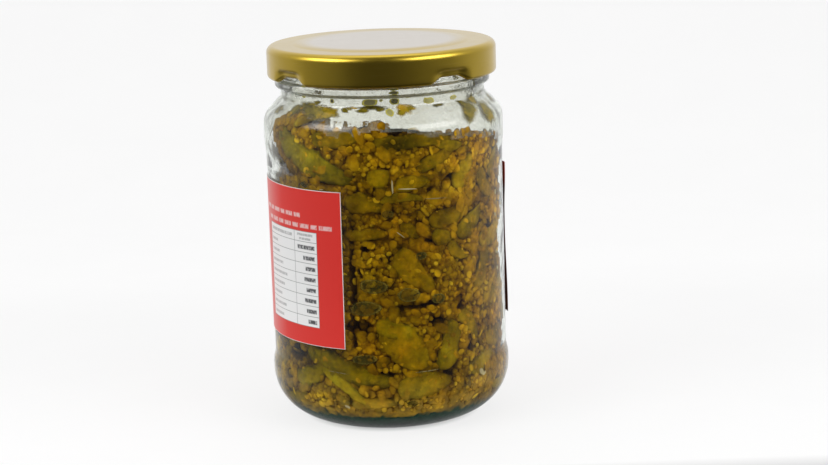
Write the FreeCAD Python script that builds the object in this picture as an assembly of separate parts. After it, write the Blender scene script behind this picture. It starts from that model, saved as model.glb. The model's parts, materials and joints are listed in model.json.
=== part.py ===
import FreeCAD, Part
import math
import os

from FreeCAD import Vector

# ---------------------------------------------------------------------------
# A glass jar of green chili pickle with a gold lug cap and a wrap-round label.
# Frame: millimetres, +Z up, origin at the centre of the ring the jar stands on.
# The front is -Y.  Azimuths are measured from the front, positive towards +X.
# ---------------------------------------------------------------------------

# --- jar, outside (radius, height) ---
FOOT_R_IN = 18.3          # flat ring the jar stands on, out to HEEL_R - HEEL_ROUND
PUSH_UP = 1.7             # hollow under the base
PUSH_UP_R = 11.5
HEEL_R = 35.05            # heel bead, the widest part low down
HEEL_ROUND = 14.0         # radius from the foot up to the heel bead
HEEL_TOP_Z = 16.4
PANEL_R = 34.4            # plain label panel
PANEL_BOTTOM_Z = 19.4
PANEL_TOP_Z = 73.6
SHOULDER_R = 34.85        # shoulder bead
SHOULDER_START_Z = 78.5
SHOULDER_CORNER_Z = 89.6
SHOULDER_ROUND = 6.0
NECK_R = 29.6             # waist between shoulder and transfer bead
NECK_CORNER_Z = 94.9
BEAD_R = 31.2             # transfer bead under the cap
BEAD_Z0 = 97.3
BEAD_Z1 = 99.9
FINISH_R = 30.0           # plain wall of the finish, under the cap
RIM_Z = 109.28            # glass rim, where the cap's lining seals

# --- jar, inside ---
BASE_T = 5.2              # glass thickness at the middle of the base
WALL_R_IN = 32.15         # inside of the panel
SHOULDER_R_IN = 32.6
SHOULDER_IN_CORNER_Z = 88.0
NECK_R_IN = 26.9
NECK_IN_CORNER_Z = 93.6
HEEL_ROUND_IN = 9.5

# --- cap: drawn tinplate with a rolled curl and four lugs ---
CAP_R = 33.2
CAP_T = 0.32              # sheet with its lacquer and sealing lining
CAP_RIM_Z = 109.62        # top of the flat outer ring
CAP_PANEL_Z = 110.0       # middle panel stands a little prouder
CAP_PANEL_R = 22.5
CAP_PANEL_SLOPE = 3.0
CAP_ROUND = 2.1           # corner between top and skirt
CAP_SKIRT_FIX_Z = 104.8   # below this the skirt gives way at the lugs
CURL_R = 1.0              # rolled edge
CURL_Z = 101.4
LUG_COUNT = 4
LUG_AZ = 36.6             # middle of one lug
LUG_HALF = 13.4           # half its length, degrees
LUG_RAMP = 9.0            # run-out at each end, degrees
LUG_IN = 1.0              # how far the edge is pressed in
LUG_UP = 1.75             # and up

# --- label: one paper strip wrapped round the panel from the front-left edge,
#     round the back, to an end at the right ---
LABEL_GAP = 0.02
LABEL_T = 0.14
LABEL_H = 45.2
LABEL_AZ0 = -22.0         # leading edge
LABEL_AZ1 = -268.0        # trailing edge, the same as +92
LABEL_Z0 = 26.45          # lower corner of the leading edge
LABEL_SKEW = 0.0063       # the strip is laid on a touch askew, radians

# --- contents: chilies, ground mustard and oil packed to an uneven top ---
FILL_GAP = 0.04
FILL_MEAN_Z = 82.6
FILL_TILT_X = -0.045      # heaped higher towards -X
FILL_TILT_Y = -0.24       # and falling away from the front to the back
FILL_BUMPS = ((-26.0, -19.0, 7.0, 8.5), (-13.0, -29.0, -1.2, 7.0),
              (-34.0, 6.0, -13.0, 12.0), (14.0, -27.0, -1.8, 9.0),
              (4.0, 6.0, 1.0, 9.0), (-8.0, 17.0, -1.2, 8.0),
              (19.0, 10.0, 0.9, 7.0), (12.0, -2.0, -0.8, 6.0))


def rounded_profile(corners):
    """Edges of an open outline in the XZ plane.  Each corner is (r, z, round);
    a round of 0 keeps the corner sharp."""
    pts = [Vector(r, 0, z) for r, z, _ in corners]
    edges = []
    cursor = pts[0]
    for i in range(1, len(pts) - 1):
        p, rnd = pts[i], corners[i][2]
        if rnd <= 0:
            edges.append(Part.LineSegment(cursor, p).toShape())
            cursor = p
            continue
        a = (pts[i - 1] - p).normalize()
        b = (pts[i + 1] - p).normalize()
        half = a.getAngle(b) / 2.0
        cut = rnd / math.tan(half)
        t0, t1 = p + a * cut, p + b * cut
        mid_dir = (a + b).normalize()
        mid = p + mid_dir * (rnd / math.sin(half) - rnd)
        if (t0 - cursor).Length > 1e-6:
            edges.append(Part.LineSegment(cursor, t0).toShape())
        edges.append(Part.Arc(t0, mid, t1).toShape())
        cursor = t1
    edges.append(Part.LineSegment(cursor, pts[-1]).toShape())
    return edges


def revolved(corners):
    """Solid of revolution of a closed outline."""
    edges = rounded_profile(corners + [corners[0]])
    face = Part.Face(Part.Wire(edges))
    solid = face.revolve(Vector(0, 0, 0), Vector(0, 0, 1), 360)
    return solid if solid.ShapeType == "Solid" else solid.Solids[0]


def inner_corners(gap, top_z):
    """Inside of the jar, from the middle of the floor up to top_z, pulled in
    by gap."""
    return [
        (0.0, BASE_T + PUSH_UP - 1.2 + gap, 0),
        (16.0, BASE_T + 0.1 + gap, 30.0),
        (WALL_R_IN - gap, BASE_T - 0.2 + gap, HEEL_ROUND_IN),
        (WALL_R_IN - gap, SHOULDER_START_Z - 4.0, 18.0),
        (SHOULDER_R_IN - gap, SHOULDER_START_Z + 1.5, 18.0),
        (SHOULDER_R_IN - gap, SHOULDER_IN_CORNER_Z - gap, 4.6),
        (NECK_R_IN - gap, NECK_IN_CORNER_Z - gap, 2.4),
        (NECK_R_IN - gap, top_z, 0),
    ]


def make_jar():
    outside = [
        (0.0, PUSH_UP, 0),
        (PUSH_UP_R, PUSH_UP, 20.0),
        (FOOT_R_IN, 0.0, 1.5),
        (HEEL_R, 0.0, HEEL_ROUND),
        (HEEL_R, HEEL_TOP_Z, 5.0),
        (PANEL_R, PANEL_BOTTOM_Z, 3.0),
        (PANEL_R, PANEL_TOP_Z, 3.0),
        (PANEL_R + 0.12, PANEL_TOP_Z + 0.6, 2.0),
        (PANEL_R + 0.12, SHOULDER_START_Z, 12.0),
        (SHOULDER_R, SHOULDER_START_Z + 3.5, 12.0),
        (SHOULDER_R, SHOULDER_CORNER_Z, SHOULDER_ROUND),
        (NECK_R, NECK_CORNER_Z, 1.5),
        (NECK_R, BEAD_Z0, 0.5),
        (BEAD_R, BEAD_Z0 + 0.75, 0.65),
        (BEAD_R, BEAD_Z1, 0.7),
        (FINISH_R, BEAD_Z1 + 0.55, 0.4),
        (FINISH_R, RIM_Z, 1.3),
        (NECK_R_IN, RIM_Z, 1.5),
    ]
    inside = inner_corners(0.0, 104.0)
    inside.reverse()
    return revolved(outside + inside)


def lug_press(az):
    """0 away from a lug, 1 along its middle, with smooth run-outs."""
    pitch = 360.0 / LUG_COUNT
    d = abs((az - LUG_AZ + pitch / 2.0) % pitch - pitch / 2.0)
    flat = LUG_HALF - LUG_RAMP
    if d >= LUG_HALF:
        return 0.0
    if d <= flat:
        return 1.0
    return 0.5 * (1.0 + math.cos(math.pi * (d - flat) / LUG_RAMP))


def skirt_points(k):
    """Open outline of the skirt and its rolled edge as (radius, height), from
    the outside of the skirt round the curl to the inside.  k is the lug
    press, 0 to 1."""
    zf = CAP_SKIRT_FIX_Z
    ri = CAP_R - CAP_T
    cr = CAP_R - CURL_R - LUG_IN * k
    cz = CURL_Z + LUG_UP * k
    turns = [-20.0 * i for i in range(11)] + [-215.0]
    points = [(CAP_R, zf)]
    points += [(cr + CURL_R * math.cos(math.radians(t)),
                cz + CURL_R * math.sin(math.radians(t))) for t in turns]
    points += [(ri - 0.45 * LUG_IN * k, CURL_Z + 1.6 + 0.7 * LUG_UP * k), (ri, zf)]
    return points


def ring_point(r, z, az):
    a = math.radians(az)
    return Vector(r * math.sin(a), -r * math.cos(a), z)


def make_cap():
    # Each quarter has a lug's middle, two run-outs and a plain stretch.  The
    # lower skirt is ruled between rings that follow the lug press, and the
    # upper cap is turned, split at the same azimuths.
    pitch = 360 // LUG_COUNT
    flat = LUG_HALF - LUG_RAMP
    ramp_steps = 8
    last = len(skirt_points(0.0)) - 1
    faces = []

    def turned(edges, start, end):
        out = []
        for edge in edges:
            sweep = edge.revolve(Vector(0, 0, 0), Vector(0, 0, 1), end - start)
            sweep.rotate(Vector(0, 0, 0), Vector(0, 0, 1), start - 90.0)
            out.extend(sweep.Faces)
        return out

    def ring_edge(j, start, end):
        k0, k1 = lug_press(start), lug_press(end)
        if abs(k0 - k1) < 1e-6 or j in (0, last):
            r, z = skirt_points(k0)[j]
            return Part.Arc(*[ring_point(r, z, az) for az in
                              (start, (start + end) / 2.0, end)]).toShape()
        points = []
        for i in range(ramp_steps + 1):
            az = start + (end - start) * i / ramp_steps
            r, z = skirt_points(lug_press(az))[j]
            points.append(ring_point(r, z, az))
        curve = Part.BSplineCurve()
        curve.interpolate(points)
        return curve.toShape()

    cuts = []
    for q in range(LUG_COUNT):
        mid = LUG_AZ + pitch * q
        cuts += [mid - flat, mid + flat, mid + LUG_HALF, mid + pitch - LUG_HALF]
    cuts.append(cuts[0] + 360.0)
    for start, end in zip(cuts, cuts[1:]):
        rings = [ring_edge(j, start, end) for j in range(last + 1)]
        for lower, upper in zip(rings, rings[1:]):
            faces.append(Part.makeRuledSurface(lower, upper))

    # the plain upper cap, one turned sheet closed on the same two circles
    outline = [
        (CAP_R, CAP_SKIRT_FIX_Z, 0),
        (CAP_R, CAP_RIM_Z, CAP_ROUND),
        (CAP_PANEL_R + CAP_PANEL_SLOPE, CAP_RIM_Z, 2.5),
        (CAP_PANEL_R, CAP_PANEL_Z, 2.5),
        (0.0, CAP_PANEL_Z, 0),
    ]
    under = [
        (0.0, CAP_PANEL_Z - CAP_T, 0),
        (CAP_PANEL_R, CAP_PANEL_Z - CAP_T, 2.5),
        (CAP_PANEL_R + CAP_PANEL_SLOPE, CAP_RIM_Z - CAP_T, 2.5),
        (CAP_R - CAP_T, CAP_RIM_Z - CAP_T, CAP_ROUND - CAP_T),
        (CAP_R - CAP_T, CAP_SKIRT_FIX_Z, 0),
    ]
    for part in (outline, under):
        for start, end in zip(cuts, cuts[1:]):
            faces += turned(rounded_profile(part), start, end)
    sewn = Part.Compound(faces)
    sewn.sewShape(0.03)
    solid = Part.Solid(sewn.Shells[0])
    if solid.Volume < 0:
        solid.reverse()
    return solid


def make_label():
    """Paper strip: a rectangle of the unrolled panel, turned by the skew about
    the lower corner of its leading edge, with thickness outwards."""
    r = PANEL_R + LABEL_GAP
    surf = Part.Cylinder()
    surf.Center = Vector(0, 0, 0)
    surf.Axis = Vector(0, 0, 1)
    surf.Radius = r
    # the surface's own angle runs from +X, anticlockwise seen from above
    length = math.radians(LABEL_AZ0 - LABEL_AZ1) * r
    c, s = math.cos(LABEL_SKEW), math.sin(LABEL_SKEW)
    u0 = math.radians(LABEL_AZ0 - 90.0 + 360.0)
    corners = []
    for along, up in ((0, 0), (length, 0), (length, LABEL_H), (0, LABEL_H)):
        run = along * c - up * s
        rise = along * s + up * c
        corners.append((u0 - run / r, LABEL_Z0 + rise))
    shift = -2.0 * math.pi * math.floor(min(u for u, _ in corners) / (2.0 * math.pi))
    loop = [FreeCAD.Base.Vector2d(u + shift, v) for u, v in corners]
    edges = []
    for i in range(4):
        a, b = loop[i], loop[(i + 1) % 4]
        edges.append(Part.Geom2d.Line2dSegment(a, b).toShape(surf))
    wire = Part.Wire(edges)
    face = Part.Face(surf, wire)
    face.validate()
    solid = face.makeOffsetShape(LABEL_T, 1e-4, fill=True)
    if solid.ShapeType != "Solid":
        solid = Part.Solid(solid.Shells[0])
    if solid.Volume < 0:
        solid.reverse()
    return solid


def fill_height(x, y):
    z = FILL_MEAN_Z + FILL_TILT_X * x + FILL_TILT_Y * y
    for bx, by, h, w in FILL_BUMPS:
        z += h * math.exp(-((x - bx) ** 2 + (y - by) ** 2) / (w * w))
    z += 0.25 * math.sin(0.55 * x + 0.8) * math.cos(0.5 * y)
    return z


def make_pickle():
    body = [(0.0, 101.0, 0)] + [c for c in inner_corners(FILL_GAP, 101.0)]
    body = revolved(body)
    span, n = 36.0, 24
    grid = [[Vector(-span + 2 * span * i / n, -span + 2 * span * j / n,
                    fill_height(-span + 2 * span * i / n, -span + 2 * span * j / n))
             for j in range(n + 1)] for i in range(n + 1)]
    surf = Part.BSplineSurface()
    surf.interpolate(grid)
    above = surf.toShape().extrude(Vector(0, 0, 60))
    solid = body.cut(above)
    solid = max(solid.Solids, key=lambda s: s.Volume)
    return solid


def main():
    os.makedirs("parts", exist_ok=True)
    nodes = {
        "jar": make_jar(),
        "cap": make_cap(),
        "label": make_label(),
        "pickle": make_pickle(),
    }
    for name, shape in nodes.items():
        box = shape.BoundBox
        print("%-8s %-6s valid %s closed %s volume %9.1f mm3  x %.2f..%.2f  y %.2f..%.2f  z %.2f..%.2f" % (
            name, shape.ShapeType, shape.isValid(), shape.isClosed(), shape.Volume,
            box.XMin, box.XMax, box.YMin, box.YMax, box.ZMin, box.ZMax))
        shape.exportStep("parts/%s.step" % name)


main()
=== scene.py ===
import json
import math

import bpy
import numpy as np
from mathutils import Matrix, Vector
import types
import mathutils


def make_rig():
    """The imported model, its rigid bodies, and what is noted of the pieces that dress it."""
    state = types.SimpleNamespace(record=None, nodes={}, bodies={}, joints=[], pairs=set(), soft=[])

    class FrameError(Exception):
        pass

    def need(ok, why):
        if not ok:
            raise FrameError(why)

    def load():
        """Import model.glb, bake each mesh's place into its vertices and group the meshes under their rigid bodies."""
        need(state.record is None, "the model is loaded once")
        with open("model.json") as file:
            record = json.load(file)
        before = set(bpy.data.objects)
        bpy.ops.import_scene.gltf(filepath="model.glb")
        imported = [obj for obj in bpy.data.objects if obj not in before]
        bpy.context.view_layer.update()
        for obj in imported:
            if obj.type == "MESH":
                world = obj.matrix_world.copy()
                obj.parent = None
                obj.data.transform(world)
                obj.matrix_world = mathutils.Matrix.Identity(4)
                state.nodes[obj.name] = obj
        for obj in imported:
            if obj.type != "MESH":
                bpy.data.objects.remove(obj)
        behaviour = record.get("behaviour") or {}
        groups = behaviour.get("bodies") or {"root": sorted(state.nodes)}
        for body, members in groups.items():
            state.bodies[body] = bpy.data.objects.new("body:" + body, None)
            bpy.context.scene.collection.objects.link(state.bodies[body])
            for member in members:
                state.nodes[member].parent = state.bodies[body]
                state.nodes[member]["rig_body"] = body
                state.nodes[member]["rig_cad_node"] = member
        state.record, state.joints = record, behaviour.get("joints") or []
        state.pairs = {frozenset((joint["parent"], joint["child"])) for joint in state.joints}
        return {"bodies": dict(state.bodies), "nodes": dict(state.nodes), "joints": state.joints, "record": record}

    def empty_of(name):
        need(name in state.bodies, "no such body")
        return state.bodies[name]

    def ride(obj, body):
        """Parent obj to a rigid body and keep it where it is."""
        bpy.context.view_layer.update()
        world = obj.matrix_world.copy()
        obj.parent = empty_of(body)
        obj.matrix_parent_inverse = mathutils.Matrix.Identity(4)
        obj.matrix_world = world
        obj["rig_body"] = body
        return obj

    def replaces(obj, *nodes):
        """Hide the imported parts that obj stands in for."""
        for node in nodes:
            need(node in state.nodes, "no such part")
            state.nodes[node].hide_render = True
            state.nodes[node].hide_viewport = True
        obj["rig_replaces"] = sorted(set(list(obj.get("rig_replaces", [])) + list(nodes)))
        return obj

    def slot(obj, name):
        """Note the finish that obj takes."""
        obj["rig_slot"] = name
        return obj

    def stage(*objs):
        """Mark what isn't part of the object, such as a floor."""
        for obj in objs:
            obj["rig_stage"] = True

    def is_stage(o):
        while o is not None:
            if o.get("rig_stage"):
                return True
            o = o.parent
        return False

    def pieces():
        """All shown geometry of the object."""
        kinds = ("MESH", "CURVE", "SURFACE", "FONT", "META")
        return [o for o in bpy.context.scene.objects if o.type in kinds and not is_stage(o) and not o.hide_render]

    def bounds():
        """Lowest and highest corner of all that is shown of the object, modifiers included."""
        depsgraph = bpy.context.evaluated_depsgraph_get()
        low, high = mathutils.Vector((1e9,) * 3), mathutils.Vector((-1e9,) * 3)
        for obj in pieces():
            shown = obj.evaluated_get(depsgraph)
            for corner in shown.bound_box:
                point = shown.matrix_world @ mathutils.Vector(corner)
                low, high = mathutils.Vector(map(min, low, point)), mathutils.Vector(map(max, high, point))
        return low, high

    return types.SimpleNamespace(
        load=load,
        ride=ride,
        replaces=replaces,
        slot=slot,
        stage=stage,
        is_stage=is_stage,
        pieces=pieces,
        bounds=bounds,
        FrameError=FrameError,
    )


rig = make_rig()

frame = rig.load()
cad_box = [list(map(float, v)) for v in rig.bounds()]

MM = 0.001
scene = bpy.context.scene

# ---------------------------------------------------------------------------
# Dimensions in millimetres, as in the CAD model.  Azimuths run from the front
# (-Y), positive towards +X.
# ---------------------------------------------------------------------------
FOOT_R_IN, PUSH_UP, PUSH_UP_R = 18.3, 1.7, 11.5
HEEL_R, HEEL_ROUND, HEEL_TOP_Z = 35.05, 14.0, 16.4
PANEL_R, PANEL_BOTTOM_Z, PANEL_TOP_Z = 34.4, 19.4, 73.6
SHOULDER_R, SHOULDER_START_Z, SHOULDER_CORNER_Z, SHOULDER_ROUND = 34.85, 78.5, 89.6, 6.0
NECK_R, NECK_CORNER_Z = 29.6, 94.9
BEAD_R, BEAD_Z0, BEAD_Z1 = 31.2, 97.3, 99.9
FINISH_R, RIM_Z = 30.0, 109.28
BASE_T, WALL_R_IN, SHOULDER_R_IN, SHOULDER_IN_CORNER_Z = 5.2, 32.15, 32.6, 88.0
NECK_R_IN, NECK_IN_CORNER_Z, HEEL_ROUND_IN = 26.9, 93.6, 9.5
CAP_R, CAP_T, CAP_RIM_Z, CAP_PANEL_Z = 33.2, 0.32, 109.62, 110.0
CAP_PANEL_R, CAP_PANEL_SLOPE, CAP_ROUND, CAP_FIX_Z = 22.5, 3.0, 2.1, 104.8
CURL_R, CURL_Z = 1.0, 101.4
LUG_COUNT, LUG_AZ, LUG_HALF, LUG_RAMP, LUG_IN, LUG_UP = 4, 36.6, 13.4, 9.0, 1.0, 1.75
LABEL_GAP, LABEL_T, LABEL_H = 0.02, 0.14, 45.2
LABEL_AZ0, LABEL_AZ1, LABEL_Z0, LABEL_SKEW = -22.0, -268.0, 26.45, 0.0063


# ---------------------------------------------------------------------------
# Noise and small helpers
# ---------------------------------------------------------------------------
def vnoise(p, seed=0):
    """Smooth value noise in [-1, 1] at an array of points (..., 3)."""
    p = np.asarray(p, float)
    i = np.floor(p).astype(np.int64)
    f = p - i
    u = f * f * f * (f * (f * 6 - 15) + 10)

    def h(dx, dy, dz):
        x = ((i[..., 0] + dx) * 73856093) ^ ((i[..., 1] + dy) * 19349663) ^ (
            (i[..., 2] + dz) * 83492791) ^ (seed * 2654435 + 977)
        x = x & 0xFFFFFFFF
        x = (((x >> 16) ^ x) * 0x45D9F3B) & 0xFFFFFFFF
        x = (((x >> 16) ^ x) * 0x45D9F3B) & 0xFFFFFFFF
        x = (x >> 16) ^ x
        return (x & 0xFFFFFF) / float(0xFFFFFF) * 2 - 1

    out = 0.0
    for dx in (0, 1):
        wx = u[..., 0] if dx else 1 - u[..., 0]
        for dy in (0, 1):
            wy = u[..., 1] if dy else 1 - u[..., 1]
            for dz in (0, 1):
                wz = u[..., 2] if dz else 1 - u[..., 2]
                out = out + wx * wy * wz * h(dx, dy, dz)
    return out


def fbm(p, octaves=3, seed=0, gain=0.5):
    p = np.asarray(p, float)
    out, amp, tot = 0.0, 1.0, 0.0
    for k in range(octaves):
        out = out + amp * vnoise(p * 2 ** k + 13.7 * k, seed + k)
        tot += amp
        amp *= gain
    return out / tot


def smoothstep(a, b, x):
    t = np.clip((x - a) / (b - a), 0, 1)
    return t * t * (3 - 2 * t)


def rounded(corners, step=8.0, span=2.0):
    """Points along an open outline in (r, z); each corner has a round."""
    P = [np.array(c[:2], float) for c in corners]
    out = [P[0]]

    def line_to(q):
        d = np.linalg.norm(q - out[-1])
        if d < 1e-6:
            return
        n = max(1, int(math.ceil(d / span)))
        a = out[-1]
        for k in range(1, n + 1):
            out.append(a + (q - a) * k / n)

    for i in range(1, len(P) - 1):
        p, rad = P[i], corners[i][2]
        if rad <= 0:
            line_to(p)
            continue
        a, b = P[i - 1] - p, P[i + 1] - p
        a, b = a / np.linalg.norm(a), b / np.linalg.norm(b)
        ang = math.acos(max(-1, min(1, float(a @ b))))
        cut = rad / math.tan(ang / 2)
        t0, t1 = p + a * cut, p + b * cut
        m = (a + b) / np.linalg.norm(a + b)
        c = p + m * rad / math.sin(ang / 2)
        line_to(t0)
        v0, v1 = t0 - c, t1 - c
        turn = math.pi - ang
        sign = 1 if v0[0] * v1[1] - v0[1] * v1[0] > 0 else -1
        n = max(2, int(math.ceil(math.degrees(turn) / step)))
        for k in range(1, n + 1):
            t = sign * turn * k / n
            out.append(c + np.array([v0[0] * math.cos(t) - v0[1] * math.sin(t),
                                     v0[0] * math.sin(t) + v0[1] * math.cos(t)]))
    line_to(P[-1])
    return np.array(out)


def cyl(r, az_deg, z):
    a = np.radians(az_deg)
    return np.stack([r * np.sin(a), -r * np.cos(a), z + 0 * a], -1)


def mesh_object(name, verts, faces, smooth=True):
    """verts in mm."""
    me = bpy.data.meshes.new(name)
    verts = np.asarray(verts, np.float64) * MM
    if isinstance(faces, np.ndarray):
        n, k = faces.shape
        me.vertices.add(len(verts))
        me.vertices.foreach_set("co", verts.ravel())
        me.loops.add(n * k)
        me.loops.foreach_set("vertex_index", faces.ravel().astype(np.int32))
        me.polygons.add(n)
        me.polygons.foreach_set("loop_start", np.arange(0, n * k, k, dtype=np.int32))
        me.polygons.foreach_set("loop_total", np.full(n, k, dtype=np.int32))
        me.update(calc_edges=True)
    else:
        me.from_pydata([tuple(v) for v in verts], [], faces)
    me.validate()
    me.polygons.foreach_set("use_smooth", np.full(len(me.polygons), smooth))
    me.update()
    ob = bpy.data.objects.new(name, me)
    scene.collection.objects.link(ob)
    return ob


def add_attr(ob, name, values):
    at = ob.data.attributes.new(name, "FLOAT", "POINT")
    at.data.foreach_set("value", np.asarray(values, np.float32))


def lathe(name, prof, n, shape=None, closed_axis=True):
    """Turns (r, z) points round the axis.  shape(az, r, z) may move them.  The
    first and last points lie on the axis when closed_axis."""
    az = np.arange(n) * 360.0 / n
    pr = prof[1:-1] if closed_axis else prof
    m = len(pr)
    A, I = np.meshgrid(az, np.arange(m), indexing="xy")      # m x n
    r, z = pr[I, 0], pr[I, 1]
    if shape is not None:
        r, z = shape(A, r, z, I)
    V = cyl(r, A, z).reshape(-1, 3)
    q = []
    i = np.arange(m - 1)[:, None]
    j = np.arange(n)[None, :]
    j1 = (j + 1) % n
    quads = np.stack([i * n + j, i * n + j1, (i + 1) * n + j1, (i + 1) * n + j], -1).reshape(-1, 4)
    faces = [tuple(f) for f in quads]
    verts = list(map(tuple, V))
    if closed_axis:
        a, b = len(verts), len(verts) + 1
        verts.append((0, 0, prof[0, 1]))
        verts.append((0, 0, prof[-1, 1]))
        faces += [(a, (k + 1) % n, k) for k in range(n)]
        o = (m - 1) * n
        faces += [(b, o + k, o + (k + 1) % n) for k in range(n)]
    return verts, faces, quads


# ---------------------------------------------------------------------------
# Node material helpers
# ---------------------------------------------------------------------------
class Mat:
    def __init__(self, name):
        self.m = bpy.data.materials.new(name)
        self.m.use_nodes = True
        self.t = self.m.node_tree
        self.t.nodes.clear()
        self.out = self.t.nodes.new("ShaderNodeOutputMaterial")

    def node(self, kind, **kw):
        n = self.t.nodes.new(kind)
        for k, v in kw.items():
            if k.startswith("in_"):
                key = k[3:].replace("_", " ")
                sock = n.inputs[key] if key in n.inputs else n.inputs[int(key)]
                self.put(sock, v)
            else:
                setattr(n, k, v)
        return n

    def put(self, sock, v):
        if isinstance(v, bpy.types.NodeSocket):
            self.t.links.new(v, sock)
        else:
            sock.default_value = v

    def math(self, op, a, b=0.0, c=None, clamp=False):
        n = self.t.nodes.new("ShaderNodeMath")
        n.operation = op
        n.use_clamp = clamp
        self.put(n.inputs[0], a)
        self.put(n.inputs[1], b)
        if c is not None:
            self.put(n.inputs[2], c)
        return n.outputs[0]

    def ramp(self, fac, stops, interp="LINEAR"):
        n = self.t.nodes.new("ShaderNodeValToRGB")
        n.color_ramp.interpolation = interp
        els = n.color_ramp.elements
        while len(els) < len(stops):
            els.new(0.5)
        for e, (pos, col) in zip(els, stops):
            e.position = pos
            e.color = (*col, 1.0) if len(col) == 3 else col
        self.put(n.inputs[0], fac)
        return n.outputs[0]

    def mix(self, fac, a, b, blend="MIX"):
        n = self.t.nodes.new("ShaderNodeMix")
        n.data_type = "RGBA"
        n.blend_type = blend
        self.put(n.inputs["Factor"], fac)
        ins = [s for s in n.inputs if s.type == "RGBA"]
        for s, v in zip(ins, (a, b)):
            self.put(s, (*v, 1.0) if isinstance(v, tuple) and len(v) == 3 else v)
        return [s for s in n.outputs if s.type == "RGBA"][0]

    def coord(self, scale=None, kind="Object"):
        tc = self.t.nodes.new("ShaderNodeTexCoord")
        out = tc.outputs[kind]
        if scale is not None:
            mp = self.t.nodes.new("ShaderNodeMapping")
            self.put(mp.inputs["Vector"], out)
            mp.inputs["Scale"].default_value = scale
            out = mp.outputs[0]
        return out

    def noise(self, vec, scale, detail=3.0, rough=0.55, distortion=0.0):
        n = self.t.nodes.new("ShaderNodeTexNoise")
        self.put(n.inputs["Vector"], vec)
        n.inputs["Scale"].default_value = scale
        n.inputs["Detail"].default_value = detail
        n.inputs["Roughness"].default_value = rough
        n.inputs["Distortion"].default_value = distortion
        return n.outputs["Fac"]

    def attr(self, name):
        n = self.t.nodes.new("ShaderNodeAttribute")
        n.attribute_name = name
        return n.outputs["Fac"]

    def bump(self, height, strength=0.3, distance=0.0003):
        n = self.t.nodes.new("ShaderNodeBump")
        n.inputs["Strength"].default_value = strength
        n.inputs["Distance"].default_value = distance
        self.put(n.inputs["Height"], height)
        return n.outputs[0]

    def principled(self, **kw):
        n = self.t.nodes.new("ShaderNodeBsdfPrincipled")
        for k, v in kw.items():
            key = k.replace("_", " ")
            self.put(n.inputs[key], (*v, 1.0) if isinstance(v, tuple) and len(v) == 3 and
                     n.inputs[key].type == "RGBA" else v)
        return n

    def surface(self, shader):
        self.t.links.new(shader, self.out.inputs["Surface"])
        return self.m


def srgb(r, g, b):
    f = lambda c: c / 12.92 if c <= 0.04045 else ((c + 0.055) / 1.055) ** 2.4
    return tuple(f(c / 255.0) for c in (r, g, b))


def let_lamps_through(M, shader):
    """Glass as seen, but clear to rays that carry light to what is inside."""
    lp = M.t.nodes.new("ShaderNodeLightPath")
    tr = M.t.nodes.new("ShaderNodeBsdfTransparent")
    m1 = M.t.nodes.new("ShaderNodeMixShader")
    M.t.links.new(lp.outputs["Is Shadow Ray"], m1.inputs[0])
    M.t.links.new(shader, m1.inputs[1])
    M.t.links.new(tr.outputs[0], m1.inputs[2])
    m2 = M.t.nodes.new("ShaderNodeMixShader")
    M.t.links.new(lp.outputs["Is Diffuse Ray"], m2.inputs[0])
    M.t.links.new(m1.outputs[0], m2.inputs[1])
    M.t.links.new(tr.outputs[0], m2.inputs[2])
    return m2.outputs[0], tr


# --- materials ---
def make_glass():
    M = Mat("jar_glass")
    co = M.coord()
    low = M.noise(co, 90.0, 2.0, 0.5)
    fine = M.noise(co, 900.0, 2.0, 0.5)
    h = M.math("ADD", low, M.math("MULTIPLY", fine, 0.08))
    rough = M.math("MULTIPLY_ADD", M.noise(co, 260.0, 3.0, 0.6), 0.02, 0.004)
    # green shows where the glass is looked through at a flat angle
    lw = M.node("ShaderNodeLayerWeight")
    lw.inputs["Blend"].default_value = 0.5
    thick = M.ramp(lw.outputs["Facing"], [(0.35, (0, 0, 0)), (0.95, (1, 1, 1))])
    col = M.mix(thick, (0.975, 0.985, 0.965), (0.66, 0.76, 0.64))
    # the thick foot is deep green
    sp = M.node("ShaderNodeSeparateXYZ")
    M.put(sp.inputs[0], co)
    foot = M.math("MULTIPLY_ADD", sp.outputs[2], -1.0 / 0.0045, 6.8 / 4.5, clamp=True)
    col = M.mix(foot, col, (0.36, 0.56, 0.42))
    p = M.principled(Base_Color=col, Roughness=rough, IOR=1.5,
                     Transmission_Weight=1.0, Normal=M.bump(h, 0.35, 0.0006))
    s, tr = let_lamps_through(M, p.outputs[0])
    tr.inputs[0].default_value = (0.93, 0.95, 0.93, 1)
    return M.surface(s)


def make_wetted():
    M = Mat("jar_inner_wetted")
    tr = M.t.nodes.new("ShaderNodeBsdfTransparent")
    tr.inputs[0].default_value = (1, 1, 1, 1)
    return M.surface(tr.outputs[0])


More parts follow.
